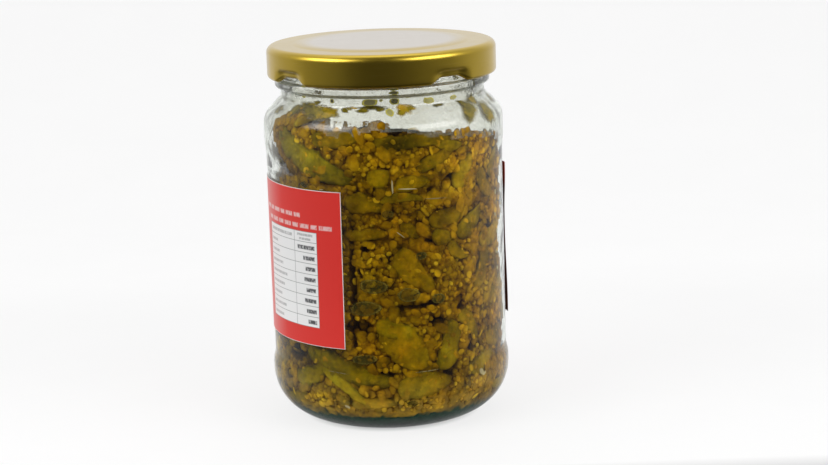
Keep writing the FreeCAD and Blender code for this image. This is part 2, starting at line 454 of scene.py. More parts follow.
def make_film():
    """Dry inside wall above the contents, fogged by a thin smear of oil; on the shoulder the fog thickens into pale
    patches that are painted highlights.
    """
    M = Mat("jar_inner_film")
    co = M.coord()
    n1 = M.noise(co, 130.0, 4.0, 0.6)
    n2 = M.noise(co, 800.0, 3.0, 0.6)
    # the fog attribute carries painted highlights: pale patches where highlights fall on the shoulder
    fog = M.math("ADD", M.attr("fog"), M.math("MULTIPLY_ADD", n1, 0.85, -0.42))
    fog = M.math("ADD", fog, M.math("MULTIPLY_ADD", n2, 0.36, -0.18), clamp=True)
    glassy = M.principled(Base_Color=(0.93, 0.945, 0.87), Roughness=0.07, IOR=1.5,
                          Transmission_Weight=1.0, Normal=M.bump(n1, 0.35, 0.0008))
    tone = M.mix(n2, (0.66, 0.675, 0.55), (0.92, 0.92, 0.84))
    haze = M.principled(Base_Color=tone, Roughness=0.35, Specular_IOR_Level=0.3)
    tl = M.t.nodes.new("ShaderNodeBsdfTranslucent")
    M.put(tl.inputs["Color"], tone)
    hz = M.t.nodes.new("ShaderNodeMixShader")
    hz.inputs[0].default_value = 0.5
    M.put(hz.inputs[1], haze.outputs[0])
    M.put(hz.inputs[2], tl.outputs[0])
    mx = M.t.nodes.new("ShaderNodeMixShader")
    M.put(mx.inputs[0], fog)
    M.put(mx.inputs[1], glassy.outputs[0])
    M.put(mx.inputs[2], hz.outputs[0])
    s, tr = let_lamps_through(M, mx.outputs[0])
    tr.inputs[0].default_value = (0.92, 0.93, 0.88, 1)
    return M.surface(s)


def fog_amount(az, z):
    """How strongly the inside of the neck and shoulder is fogged; the patches on the shoulder are painted highlights,
    pale haze where highlights fall.
    """
    f = 0.17 + 0.05 * smoothstep(94.5, 97.0, z)
    # painted highlights: pale patches of fog on the shoulder, where the highlights fall
    for (pa, pz, pw, ph, k) in ((-17.0, 91.0, 30.0, 5.4, 0.05), (24.0, 91.6, 46.0, 6.4, 0.16),
                                (52.0, 93.0, 24.0, 9.0, 0.16), (-60.0, 92.0, 30.0, 9.0, 0.20)):
        da = (az - pa + 180) % 360 - 180
        e = (da / (pw / 2)) ** 2 + ((z - pz) / (ph / 2)) ** 2
        f = f + k * np.exp(-e ** 1.5)
    return np.clip(f, 0, 1)


def make_gold():
    M = Mat("cap_gold_lacquer")
    co = M.coord()
    ring = M.coord((1.0, 1.0, 26.0))
    scr = M.noise(ring, 160.0, 5.0, 0.7)
    blot = M.noise(co, 60.0, 3.0, 0.5)
    col = M.mix(blot, (0.50, 0.340, 0.030), (0.60, 0.425, 0.045))
    scratch = M.ramp(scr, [(0.60, (0, 0, 0)), (0.70, (1, 1, 1))])
    col = M.mix(M.math("MULTIPLY", scratch, 0.16), col, (0.80, 0.62, 0.26))
    # painted sheen: the gold is made paler where it is seen at a flat angle, towards its outline
    lw = M.node("ShaderNodeLayerWeight")
    lw.inputs["Blend"].default_value = 0.5
    flat = M.ramp(lw.outputs["Facing"], [(0.55, (0, 0, 0)), (0.80, (1, 1, 1))])
    edge = M.ramp(lw.outputs["Facing"], [(0.74, (0, 0, 0)), (1.0, (1, 1, 1))])
    col = M.mix(M.math("MULTIPLY", edge, 0.55), col, (0.52, 0.46, 0.36))
    # painted reflection: the sunk middle of the top is made paler and greyer than the ring round it, only where it is
    # seen at a flat angle
    sp = M.node("ShaderNodeSeparateXYZ")
    M.put(sp.inputs[0], co)
    rr = M.math("SQRT", M.math("ADD", M.math("POWER", sp.outputs[0], 2.0), M.math("POWER", sp.outputs[1], 2.0)))
    disc = M.math("MULTIPLY_ADD", rr, -210.0, 0.0246 * 210.0, clamp=True)
    disc = M.math("MULTIPLY", disc, M.math("GREATER_THAN", sp.outputs[2], 0.1085))
    col = M.mix(M.math("MULTIPLY", disc, flat), col, (0.575, 0.52, 0.45))
    rough = M.math("MULTIPLY_ADD", scr, 0.12, 0.24)
    h = M.math("ADD", M.math("MULTIPLY", blot, 0.7), M.math("MULTIPLY", scr, 0.12))
    p = M.principled(Base_Color=col, Metallic=1.0, Roughness=rough, Coat_Weight=0.28,
                     Coat_Roughness=0.13, Normal=M.bump(h, 0.25, 0.0003))
    return M.surface(p.outputs[0])


def make_lining():
    M = Mat("cap_lining")
    co = M.coord()
    n = M.noise(co, 300.0, 3.0, 0.6)
    col = M.mix(n, (0.60, 0.56, 0.44), (0.70, 0.66, 0.54))
    p = M.principled(Base_Color=col, Roughness=0.45, Normal=M.bump(n, 0.2, 0.0002))
    return M.surface(p.outputs[0])


glass = make_glass()
wetted = make_wetted()
film = make_film()
gold = make_gold()
lining = make_lining()

# ---------------------------------------------------------------------------
# Contents: where they touch the glass and how high they stand
# ---------------------------------------------------------------------------
FILL_BUMPS = ((-26.0, -19.0, 7.0, 8.5), (-13.0, -29.0, -1.2, 7.0),
              (-34.0, 6.0, -13.0, 12.0), (14.0, -27.0, -1.8, 9.0),
              (4.0, 6.0, 1.0, 9.0), (-8.0, 17.0, -1.2, 8.0),
              (19.0, 10.0, 0.9, 7.0), (12.0, -2.0, -0.8, 6.0))


def fill_height(x, y):
    z = 82.6 - 0.045 * x - 0.24 * y
    for bx, by, h, w in FILL_BUMPS:
        z = z + h * np.exp(-((x - bx) ** 2 + (y - by) ** 2) / (w * w))
    return z + 0.25 * np.sin(0.55 * x + 0.8) * np.cos(0.5 * y)


def fill_edge(az):
    """Height of the contents where they meet the wall."""
    z = np.full_like(np.asarray(az, float), 91.0)
    for _ in range(6):
        r = np.interp(z, IN_Z, IN_R)
        p = cyl(r, az, 0 * r)
        z = 0.5 * z + 0.5 * fill_height(p[..., 0], p[..., 1])
    p = cyl(np.full_like(z, 6.0), az, 0 * z)
    return z + 0.7 * fbm(p / 1.6, 3, 5)


def inner_corners(top_z):
    return [
        (0.0, BASE_T + PUSH_UP - 1.2, 0),
        (16.0, BASE_T + 0.1, 30.0),
        (WALL_R_IN, BASE_T - 0.2, HEEL_ROUND_IN),
        (WALL_R_IN, SHOULDER_START_Z - 4.0, 18.0),
        (SHOULDER_R_IN, SHOULDER_START_Z + 1.5, 18.0),
        (SHOULDER_R_IN, SHOULDER_IN_CORNER_Z, 4.6),
        (NECK_R_IN, NECK_IN_CORNER_Z, 2.4),
        (NECK_R_IN, top_z, 0),
    ]


inside = rounded(inner_corners(104.0), 6.0, 0.8)
side = inside[inside[:, 1] > BASE_T + 0.5]
side = side[side[:, 0] > 20]
IN_Z, IN_R = side[:, 1], side[:, 0]
d = np.linalg.norm(np.diff(inside, axis=0), axis=1)
IN_S = np.concatenate([[0], np.cumsum(d)])
tan = np.gradient(inside, IN_S, axis=0)
tan /= np.linalg.norm(tan, axis=1)[:, None]
IN_NR, IN_NZ = tan[:, 1], -tan[:, 0]      # normals pointing into the glass


def wall_point(az, s, depth):
    """A point at arc length s up the inside of the jar, depth mm in from the
    wall (the wall itself plus a hair, so that no gap shows)."""
    r = np.interp(s, IN_S, inside[:, 0])
    z = np.interp(s, IN_S, inside[:, 1])
    nr = np.interp(s, IN_S, IN_NR)
    nz = np.interp(s, IN_S, IN_NZ)
    k = 0.12 - depth
    return cyl(np.maximum(r + nr * k, 0.0), az, z + nz * k)


def s_of_z(z):
    """Arc length of the wall point at height z (side of the jar)."""
    m = inside[:, 0] > 24
    return np.interp(z, inside[m, 1], IN_S[m])


def in_gap(az, z):
    """The clear pocket at the left, where the contents stand off the glass."""
    a = (np.asarray(az) + 180) % 360 - 180
    bound = -53.0 - (z - 75.5) * 1.85
    low = 72.6 + 0.055 * (a + 85.0)
    g = np.minimum(np.minimum((bound - a) / 8.0, (z - low) / 2.2),
                   np.minimum((87.0 - z) / 3.0, (a + 135.0) / 12.0))
    return np.clip(g, -2, 1.0)


def dry_wall(az, z):
    """Above 0 where the contents stand a hair off the glass and leave it dry."""
    a = (np.asarray(az) + 180) % 360 - 180
    p = cyl(np.full(np.shape(a), 32.0), a, z)
    w = fbm(p / 5.0, 2, 55)
    right = 1 - np.abs((a - 95.5) / 21.5) - 1.6 * smoothstep(17, 10, z) + 0.30 * w
    left = (1 - np.abs((a + 92.0) / 27.0) + 0.3 * w) * (z > 69)
    return np.maximum(np.maximum(right, left), in_gap(a, z))


# ---------------------------------------------------------------------------
# Jar
# ---------------------------------------------------------------------------
def build_jar():
    outside = rounded([
        (0.0, PUSH_UP, 0), (PUSH_UP_R, PUSH_UP, 20.0), (FOOT_R_IN, 0.0, 1.5),
        (HEEL_R, 0.0, HEEL_ROUND), (HEEL_R, HEEL_TOP_Z, 5.0),
        (PANEL_R, PANEL_BOTTOM_Z, 3.0), (PANEL_R, PANEL_TOP_Z, 3.0),
        (PANEL_R + 0.12, PANEL_TOP_Z + 0.6, 2.0), (PANEL_R + 0.12, SHOULDER_START_Z, 12.0),
        (SHOULDER_R, SHOULDER_START_Z + 3.5, 12.0), (SHOULDER_R, SHOULDER_CORNER_Z, SHOULDER_ROUND),
        (NECK_R, NECK_CORNER_Z, 1.5), (NECK_R, BEAD_Z0, 0.5), (BEAD_R, BEAD_Z0 + 0.75, 0.65),
        (BEAD_R, BEAD_Z1, 0.7), (FINISH_R, BEAD_Z1 + 0.55, 0.4), (FINISH_R, RIM_Z, 1.3),
        (NECK_R_IN, RIM_Z, 1.5), (NECK_R_IN, 104.0, 0)], 7.0, 1.6)
    inner = rounded(inner_corners(104.0), 7.0, 1.6)[::-1]
    n_out = len(outside)
    prof = np.vstack([outside, inner[1:]])
    m_in = n_out - 1 - 1      # first row index (after dropping the axis point) that is inside wall

    def shape(A, r, z, I):
        p = cyl(r, A, z)
        is_in = I >= m_in
        wav = fbm(p / np.array([9.0, 9.0, 14.0]), 2, 21)
        wav2 = fbm(p / np.array([5.0, 5.0, 6.0]), 2, 31)
        keep = np.where((z > 25) & (z < 74.5), 0.25, 1.0) * smoothstep(1.5, 8.0, z) * (
            1 - smoothstep(99.5, 101.0, z))
        out = -0.07 * (0.5 + 0.5 * wav) * keep
        # two mould seams, just proud of the neck and shoulder
        for seam in (-14.0, 166.0):
            d = (A - seam + 180) % 360 - 180
            out = out + 0.10 * np.exp(-(d / 0.45) ** 2) * keep * (z > 74.5) * (r < 34.7)
        inn = 0.16 * wav2 * smoothstep(8, 14, z) * (1 - smoothstep(103, 106, z))
        # keep the inner wall clear of the contents' skin below the fill line
        inn = np.where(z < 86, 0.05 * wav2, inn)
        return r + np.where(is_in, inn, out), z

    verts, faces, quads = lathe("jar", prof, 224, shape)
    ob = mesh_object("jar_body", verts, faces)
    me = ob.data
    me.materials.append(glass)
    me.materials.append(wetted)
    me.materials.append(film)
    # where oil and paste wet the inside, glass and oil meet without a boundary
    V = np.array(verts)
    idx = np.zeros(len(faces), np.int32)
    n = 224
    rows = len(quads) // n
    for i in range(rows):
        if i + 1 < m_in:
            continue
        f = quads[i * n:(i + 1) * n]
        c = V[f].mean(1)
        az = np.degrees(np.arctan2(c[:, 0], -c[:, 1]))
        fe = fill_edge(az)
        shy = 1.3 + 0.25 * fbm(c / 9.0, 2, 97) + 1.0 * np.exp(-((az + 19.0) / 13.0) ** 4)
        wet = (c[:, 2] < fe - shy) & (dry_wall(az, c[:, 2]) < 0.05)
        idx[i * n:(i + 1) * n] = np.where(wet, 1, np.where((c[:, 2] > fe - shy) & (c[:, 2] < 101.5), 2, 0))
    idx[len(quads) + n:] = 1     # the middle of the inside floor
    Va = np.array(verts)
    # fog, with its pale patches of painted highlight, as a vertex attribute
    add_attr(ob, "fog", fog_amount(np.degrees(np.arctan2(Va[:, 0], -Va[:, 1])), Va[:, 2]))
    me.polygons.foreach_set("material_index", idx)
    me.update()
    return ob


# ---------------------------------------------------------------------------
# Cap
# ---------------------------------------------------------------------------
def lug_press(az):
    pitch = 360.0 / LUG_COUNT
    d = np.abs((az - LUG_AZ + pitch / 2) % pitch - pitch / 2)
    flat = LUG_HALF - LUG_RAMP
    return np.where(d >= LUG_HALF, 0.0, np.where(
        d <= flat, 1.0, 0.5 * (1 + np.cos(np.pi * (d - flat) / LUG_RAMP))))


def build_cap():
    top = rounded([(0.0, CAP_PANEL_Z, 0), (CAP_PANEL_R, CAP_PANEL_Z, 3.5),
                   (CAP_PANEL_R + CAP_PANEL_SLOPE, CAP_RIM_Z, 3.5),
                   (CAP_R, CAP_RIM_Z, CAP_ROUND), (CAP_R, CURL_Z, 0)], 6.0, 1.0)
    cr = CAP_R - CURL_R
    roll = [(cr + CURL_R * math.cos(math.radians(-t)), CURL_Z + CURL_R * math.sin(math.radians(-t)))
            for t in range(12, 217, 12)]
    ri = CAP_R - CAP_T
    under = rounded([(ri, CURL_Z + 1.6, 0), (ri, CAP_RIM_Z - CAP_T, CAP_ROUND - CAP_T),
                     (CAP_PANEL_R + CAP_PANEL_SLOPE, CAP_RIM_Z - CAP_T, 3.0),
                     (CAP_PANEL_R, CAP_PANEL_Z - CAP_T, 3.0), (0.0, CAP_PANEL_Z - CAP_T, 0)], 10.0, 1.5)
    prof = np.vstack([top, roll, under])
    n_gold = len(top) + len(roll) - 1

    def shape(A, r, z, I):
        k = lug_press(A)
        share = 1 - smoothstep(CURL_Z + 0.2, CAP_FIX_Z, z)
        dent = 0.05 * fbm(cyl(r, A, z) / 16.0, 2, 77) * smoothstep(15, 30, r)
        return r - LUG_IN * k * share + np.minimum(dent, 0) * (z < 108), z + LUG_UP * k * share

    n = 360
    verts, faces, quads = lathe("cap", prof, n, shape)
    # faces run the other way up here: the outline starts at the top
    faces = [tuple(reversed(f)) for f in faces]
    ob = mesh_object("cap_shell", verts, faces)
    ob.data.materials.append(gold)
    ob.data.materials.append(lining)
    idx = np.zeros(len(faces), np.int32)
    idx[n_gold * n:len(quads)] = 1
    idx[len(quads) + n:] = 1
    ob.data.polygons.foreach_set("material_index", idx)
    return ob


jar = build_jar()
cap = build_cap()
for ob, node, slot in ((jar, "jar", "glass"), (cap, "cap", "gold_cap")):
    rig.ride(ob, "root")
    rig.replaces(ob, node)
    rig.slot(ob, slot)


# ---------------------------------------------------------------------------
# Label
# ---------------------------------------------------------------------------
LABEL_R = PANEL_R + LABEL_GAP
LABEL_LEN = math.radians(LABEL_AZ0 - LABEL_AZ1) * (LABEL_R + LABEL_T / 2)


def build_label():
    n_run, n_rise = 260, 30
    run = np.linspace(0, LABEL_LEN, n_run + 1)
    rise = np.linspace(0, LABEL_H, n_rise + 1)
    U, V = np.meshgrid(run, rise, indexing="ij")
    c, s = math.cos(LABEL_SKEW), math.sin(LABEL_SKEW)
    a = U * c - V * s
    h = U * s + V * c
    rm = LABEL_R + LABEL_T / 2
    az = LABEL_AZ0 - np.degrees(a / rm)
    # the trailing end has come a little away from the glass, most at its foot
    lift = 0.85 * smoothstep(LABEL_LEN - 5.0, LABEL_LEN, U) * (
        0.40 + 0.50 * smoothstep(26, 3, V) + 0.45 * smoothstep(30, 43, V))
    wrinkle = 0.018 * fbm(np.stack([U / 7.0, V / 7.0, 0 * U], -1), 2, 41)
    edge = np.minimum(np.minimum(U, LABEL_LEN - U), np.minimum(V, LABEL_H - V))
    wrinkle = wrinkle * smoothstep(0, 3, edge)
    outer = cyl(LABEL_R + LABEL_T + lift + wrinkle, az, LABEL_Z0 + h)
    inner = cyl(LABEL_R + lift + 0 * U, az, LABEL_Z0 + h)
    nv = (n_run + 1) * (n_rise + 1)
    verts = np.vstack([outer.reshape(-1, 3), inner.reshape(-1, 3)])
    w = n_rise + 1
    i = np.arange(n_run)[:, None]
    j = np.arange(n_rise)[None, :]
    o = np.stack([i * w + j, i * w + j + 1, (i + 1) * w + j + 1, (i + 1) * w + j], -1).reshape(-1, 4)
    inn = o[:, ::-1] + nv
    rim = []
    for k in range(n_run):
        rim.append((k * w, (k + 1) * w, (k + 1) * w + nv, k * w + nv))
        t = n_rise
        rim.append((k * w + t, k * w + t + nv, (k + 1) * w + t + nv, (k + 1) * w + t))
    for k in range(n_rise):
        rim.append((k, k + nv, k + 1 + nv, k + 1))
        t = n_run * w
        rim.append((t + k, t + k + 1, t + k + 1 + nv, t + k + nv))
    faces = np.vstack([o, inn, np.array(rim)])
    ob = mesh_object("label_paper", verts, faces)
    me = ob.data
    uv = me.uv_layers.new(name="UVMap")
    li = np.zeros(len(me.loops), np.int32)
    me.loops.foreach_get("vertex_index", li)
    uvv = np.stack([U.ravel(), V.ravel()], -1)
    uvv = np.vstack([uvv, uvv]) / 160.0
    uv.data.foreach_set("uv", uvv[li].astype(np.float32).ravel())
    back = np.zeros(len(faces), np.int32)
    back[len(o):] = 1
    me.polygons.foreach_set("material_index", back)
    # crisp edge between the printed face and the cut edges
    try:
        ev = np.zeros(len(me.edges) * 2, np.int32)
        me.edges.foreach_get("vertices", ev)
        ev = ev.reshape(-1, 2)
        ij = ev % nv
        bi, bj = ij // w, ij % w
        on = ((bi == 0) | (bi == n_run) | (bj == 0) | (bj == n_rise)).all(1)
        at = me.attributes.get("sharp_edge") or me.attributes.new("sharp_edge", "BOOLEAN", "EDGE")
        at.data.foreach_set("value", on)
    except Exception:
        pass
    return ob


def make_label():
    M = Mat("label_print")
    uv = M.coord(kind="UV")
    sep = M.node("ShaderNodeSeparateXYZ")
    M.put(sep.inputs[0], uv)
    run = M.math("MULTIPLY", sep.outputs[0], 160.0)
    rise = M.math("MULTIPLY", sep.outputs[1], 160.0)

    def rect(r0, r1, h0, h1, soft=0.05):
        """1 inside the rectangle (mm)."""
        cr, ch = (r0 + r1) / 2, (h0 + h1) / 2
        hr, hh = abs(r1 - r0) / 2, abs(h1 - h0) / 2
        a = M.math("SUBTRACT", hr, M.math("ABSOLUTE", M.math("SUBTRACT", run, cr)))
        b = M.math("SUBTRACT", hh, M.math("ABSOLUTE", M.math("SUBTRACT", rise, ch)))
        m = M.math("MINIMUM", a, b)
        return M.math("MULTIPLY_ADD", m, 1.0 / soft, 0.5, clamp=True)

    def union(items):
        out = items[0]
        for it in items[1:]:
            out = M.math("MAXIMUM", out, it)
        return out

    # paper grain and print mottling
    mot = M.noise(uv, 700.0, 3.0, 0.6)
    fib = M.noise(uv, 2600.0, 2.0, 0.5)
    red = M.mix(mot, RED_A, RED_B)
    col = red

    # nutrition-style table: white panel, thin rules, bars where figures stand
    t0, t1, h0, h1 = 8.1, 32.0, 5.3, 33.0
    skew = 0.0
    panel = rect(t0, t1, h0, h1)
    white = M.mix(mot, (0.80, 0.80, 0.80), (0.88, 0.88, 0.87))
    col = M.mix(panel, col, white)
    rows = [h1 - 3.0 - 3.09 * k for k in range(9)]
    rules = [rect(t0, t1, y - 0.07, y + 0.07) for y in rows[:-1]]
    rules.append(rect(16.85, 16.99, h0, h1))
    rules += [rect(t0, t0 + 0.14, h0, h1), rect(t0, t1, h0, h0 + 0.12), rect(t0, t1, h1 - 0.12, h1),
              rect(t1 - 0.14, t1, h0, h1)]
    col = M.mix(M.math("MULTIPLY", union(rules), 0.78), col, (0.05, 0.05, 0.055))
    # broken bars: a fine noise eats into them so they read as small print
    mp = M.node("ShaderNodeMapping")
    M.put(mp.inputs["Vector"], uv)
    mp.inputs["Scale"].default_value = (260.0, 150.0, 1.0)
    eat = M.noise(mp.outputs[0], 1.0, 1.0, 0.5)
    eat = M.math("MULTIPLY_ADD", eat, 5.0, -1.55, clamp=True)
    widths = [6.6, 4.4, 3.6, 4.2, 3.5, 4.3, 3.7, 3.2]
    bars = []
    for k, y in enumerate(rows[:-1]):
        mid = y - 1.62
        bars.append(rect(9.0, 9.0 + widths[k], mid - 0.58, mid + 0.58, 0.25))
    bars_r = M.math("MULTIPLY", union(bars), M.math("MULTIPLY_ADD", eat, 0.55, 0.45))
    col = M.mix(M.math("MULTIPLY", bars_r, 0.92), col, (0.03, 0.03, 0.035))
    names = [4.5, 5.6, 7.6, 9.8, 8.0, 6.1, 8.6, 6.8]
    left = []
    for k, y in enumerate(rows[:-1]):
        mid = y - 1.62
        left.append(rect(31.0 - names[k], 31.0, mid - 0.40, mid + 0.40, 0.25))
    left.append(rect(18.0, 30.8, h1 - 2.0, h1 - 1.1, 0.2))
    head = [rect(9.6, 15.6, h1 - 1.35, h1 - 0.65, 0.2), rect(10.4, 14.8, h1 - 2.50, h1 - 1.85, 0.2)]
    bars_l = M.math("MULTIPLY", union(left + head), M.math("MULTIPLY_ADD", eat, 0.5, 0.35))
    col = M.mix(M.math("MULTIPLY", bars_l, 0.55), col, (0.05, 0.05, 0.055))
    # two lines of white bars over the table, in word lengths
    words = []
    x = 14.2
    for wl in (2.6, 3.2, 2.2, 3.6, 2.4, 3.0):
        words.append(rect(x, x + wl, 36.9, 38.1, 0.3))
        x += wl + 0.75
    x = 3.0
    for wl in (4.2, 2.2, 3.4, 2.5, 3.2, 2.6, 3.6, 2.8):
        words.append(rect(x, x + wl, 33.95, 35.15, 0.3))
        x += wl + 0.75
    wm = M.math("MULTIPLY", union(words), M.math("MULTIPLY_ADD", eat, 0.55, 0.3))
    col = M.mix(M.math("MULTIPLY", wm, 0.70), col, (0.86, 0.80, 0.78))

    # the side away from the camera: a plain cream field with a simple green
    # pod shape and bars; invented, since nothing of it is seen
    cream = rect(62.0, 112.0, 5.0, 40.5)
    col = M.mix(cream, col, M.mix(mot, (0.80, 0.72, 0.55), (0.86, 0.79, 0.62)))
    band = rect(62.0, 112.0, 30.5, 36.0)
    col = M.mix(band, col, (0.42, 0.025, 0.02))
    lines = [rect(70.0, 104.0, 32.3, 34.2, 0.3), rect(74.0, 100.0, 8.2, 9.4, 0.3), rect(78.0, 96.0, 6.2, 7.1, 0.3)]
    col = M.mix(lines[0], col, (0.85, 0.80, 0.70))
    col = M.mix(M.math("MULTIPLY", union(lines[1:]), 0.64), col, (0.10, 0.05, 0.03))

    def pod(cr, ch, ln, wd, tilt):
        """A bent tapering blob."""
        ct, st = math.cos(tilt), math.sin(tilt)
        dx = M.math("SUBTRACT", run, cr)
        dy = M.math("SUBTRACT", rise, ch)
        a = M.math("ADD", M.math("MULTIPLY", dx, ct), M.math("MULTIPLY", dy, st))
        b = M.math("SUBTRACT", M.math("MULTIPLY", dy, ct), M.math("MULTIPLY", dx, st))
        bend = M.math("MULTIPLY", M.math("MULTIPLY", a, a), 0.012)
        b = M.math("ADD", b, bend)
        half = M.math("MULTIPLY_ADD", a, -wd / ln * 0.8, wd)
        lim = M.math("SUBTRACT", ln, M.math("ABSOLUTE", a))
        m = M.math("MINIMUM", M.math("SUBTRACT", half, M.math("ABSOLUTE", b)), lim)
        return M.math("MULTIPLY_ADD", m, 4.0, 0.5, clamp=True)

    col = M.mix(pod(86.0, 20.5, 11.5, 1.9, 0.35), col, (0.06, 0.17, 0.02))
    col = M.mix(pod(87.5, 15.0, 9.5, 1.6, -0.15), col, (0.09, 0.22, 0.02))
    col = M.mix(pod(74.5, 18.5, 2.2, 0.5, 0.6), col, (0.10, 0.12, 0.02))
    fine = []
    for k in range(9):
        fine.append(rect(119.0, 119.0 + (20, 22, 18, 21, 16, 22, 19, 21, 11)[k], 34.0 - 2.2 * k, 35.0 - 2.2 * k, 0.25))
    fm = M.math("MULTIPLY", union(fine), M.math("MULTIPLY_ADD", eat, 0.5, 0.35))
    col = M.mix(M.math("MULTIPLY", fm, 0.8), col, (0.85, 0.80, 0.76))
    code = rect(120.0, 140.0, 4.5, 12.5)
    col = M.mix(code, col, (0.85, 0.85, 0.84))
    mp2 = M.node("ShaderNodeMapping")
    M.put(mp2.inputs["Vector"], uv)
    mp2.inputs["Scale"].default_value = (330.0, 0.001, 1.0)
    bc = M.noise(mp2.outputs[0], 1.0, 0.0, 0.5)
    bc = M.math("GREATER_THAN", bc, 0.52)
    col = M.mix(M.math("MULTIPLY", rect(121.5, 138.5, 5.5, 11.5), bc), col, (0.03, 0.03, 0.03))

    # cut margin
    inside_m = rect(0.16, LABEL_LEN - 0.16, 0.12, LABEL_H - 0.16, 0.08)
    col = M.mix(inside_m, (0.78, 0.74, 0.72), col)
    h = M.math("ADD", M.math("MULTIPLY", mot, 0.6), M.math("MULTIPLY", fib, 0.25))
    rough = M.math("MULTIPLY_ADD", mot, 0.08, 0.42)
    # painted sheen: the print is made paler where it is seen at a flat angle
    lw = M.node("ShaderNodeLayerWeight")
    lw.inputs["Blend"].default_value = 0.5
    pale = M.ramp(lw.outputs["Facing"], [(0.55, (0, 0, 0)), (0.95, (1, 1, 1))])
    col = M.mix(M.math("MULTIPLY", pale, 0.34), col, (0.84, 0.62, 0.60))
    p = M.principled(Base_Color=col, Roughness=rough, Specular_IOR_Level=0.35,
                     Normal=M.bump(h, 0.12, 0.00012))
    return M.surface(p.outputs[0])


def make_label_back():
    M = Mat("label_back_and_edges")
    co = M.coord()
    n = M.noise(co, 1500.0, 3.0, 0.6)
    # where the loose end stands off the glass its back is red high up and near-black lower down; the near-black is
    # painted shade under the lifted end
    sp = M.node("ShaderNodeSeparateXYZ")
    M.put(sp.inputs[0], co)
    up = M.math("MULTIPLY_ADD", sp.outputs[2], 1.0 / 0.004, -0.0650 / 0.004, clamp=True)
    stain = M.mix(up, (0.10, 0.018, 0.012), (0.50, 0.05, 0.035))
    col = M.mix(n, (0.60, 0.56, 0.52), (0.74, 0.71, 0.68))
    right = M.math("MULTIPLY_ADD", sp.outputs[0], 1.0 / 0.003, -0.0300 / 0.003, clamp=True)
    col = M.mix(right, col, stain)
    p = M.principled(Base_Color=col, Roughness=0.7, Normal=M.bump(n, 0.2, 0.0001))
    return M.surface(p.outputs[0])


RED_A, RED_B = (0.66, 0.029, 0.022), (0.73, 0.036, 0.027)
label = build_label()
label.data.materials.append(make_label())
label.data.materials.append(make_label_back())
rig.ride(label, "root")
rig.replaces(label, "label")
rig.slot(label, "label_paper")

# ---------------------------------------------------------------------------
# Contents
# ---------------------------------------------------------------------------
RW = 32.2                                  # radius used to unroll the wall

# pieces of chili lying against the glass: azimuth, height, length, width,
# tilt (rising to the right), tone 0 dark olive .. 1 bright, kind
CHILIES = [
    (-39.0, 79.8, 31.0, 8.8, -25, 0.40), (13.6, 47.7, 17.5, 9.0, -50, 0.62),
    (-23.1, 20.2, 31.0, 9.4, -20, 0.50), (-25.5, 15.2, 19.0, 3.6, -36, 0.80),
    (7.6, 26.8, 19.0, 12.0, -50, 0.52), (30.4, 25.9, 16.0, 7.0, 78, 0.50),
    (16.7, 15.1, 16.5, 7.4, 5, 0.55), (-9.5, 10.1, 14.0, 4.8, 3, 0.55),
    (14.1, 85.4, 24.0, 5.0, 2, 0.22), (13.1, 73.4, 10.5, 5.2, 8, 0.42),
    (7.9, 69.4, 13.0, 3.4, 0, 0.40), (-3.3, 75.3, 7.2, 6.4, 20, 0.66),
    (30.6, 62.8, 11.5, 6.8, 10, 0.42), (28.3, 57.6, 7.0, 5.6, -15, 0.40),
    (-10.8, 68.0, 12.0, 6.8, -10, 0.36), (11.5, 60.3, 7.0, 4.0, -40, 0.30),
    (-9.9, 59.4, 12.0, 5.2, 5, 0.44), (3.3, 31.6, 13.0, 6.5, -20, 0.50),
    (41.8, 75.4, 11.5, 6.1, 60, 0.44), (25.2, 79.7, 12.5, 4.6, 25, 0.40),
    (-24.6, 86.4, 15.5, 6.1, 5, 0.42), (-41.0, 90.6, 12.0, 3.9, 20, 0.45),
    (46.0, 60.5, 13.0, 6.5, 35, 0.42), (54.0, 47.0, 14.0, 6.0, 70, 0.45),
    (44.0, 30.5, 12.0, 6.0, -60, 0.46), (58.0, 70.0, 12.0, 6.0, -50, 0.42),
    (52.0, 18.5, 13.0, 6.0, 20, 0.50), (-48.0, 80.5, 13.0, 5.5, -55, 0.52),
    (-44.0, 17.5, 14.0, 6.5, 25, 0.48), (37.0, 52.5, 9.0, 4.6, -35, 0.42),
    (66.0, 76.5, 11.0, 4.5, 60, 0.45), (33.0, 83.5, 9.0, 4.4, -10, 0.46),
]

# deep oily hollows: azimuth, height, width, height of the hollow, depth
VOIDS = [
    (16.0, 88.2, 19.0, 2.2, 3.0), (-18.2, 40.9, 1.9, 46.0, 2.4), (16.9, 38.6, 14.0, 2.2, 3.6),
    (24.5, 33.2, 4.6, 3.0, 3.4), (-15.8, 32.6, 8.0, 4.6, 3.0), (30.0, 18.2, 4.2, 4.2, 3.6),
    (-53.7, 22.9, 7.0, 5.0, 3.4), (-4.1, 17.8, 6.1, 3.4, 2.8), (-11.1, 55.2, 2.6, 2.2, 2.4),
    (-15.2, 69.7, 2.4, 5.5, 2.4), (3.0, 37.6, 5.0, 1.4, 2.4), (24.0, 71.0, 5.0, 2.2, 2.2),
    (34.5, 73.5, 3.6, 3.4, 2.6), (0.5, 66.0, 4.0, 1.5, 1.8), (21.5, 57.0, 3.2, 2.0, 2.0),
    (38.0, 37.5, 3.0, 5.0, 2.4), (-13.5, 48.5, 2.0, 3.4, 2.0), (19.5, 22.2, 4.0, 1.6, 2.4),
    (-33.0, 70.2, 7.0, 2.0, 2.0), (60.0, 57.0, 3.0, 5.0, 2.2), (45.0, 24.0, 3.2, 2.6, 2.2),
]
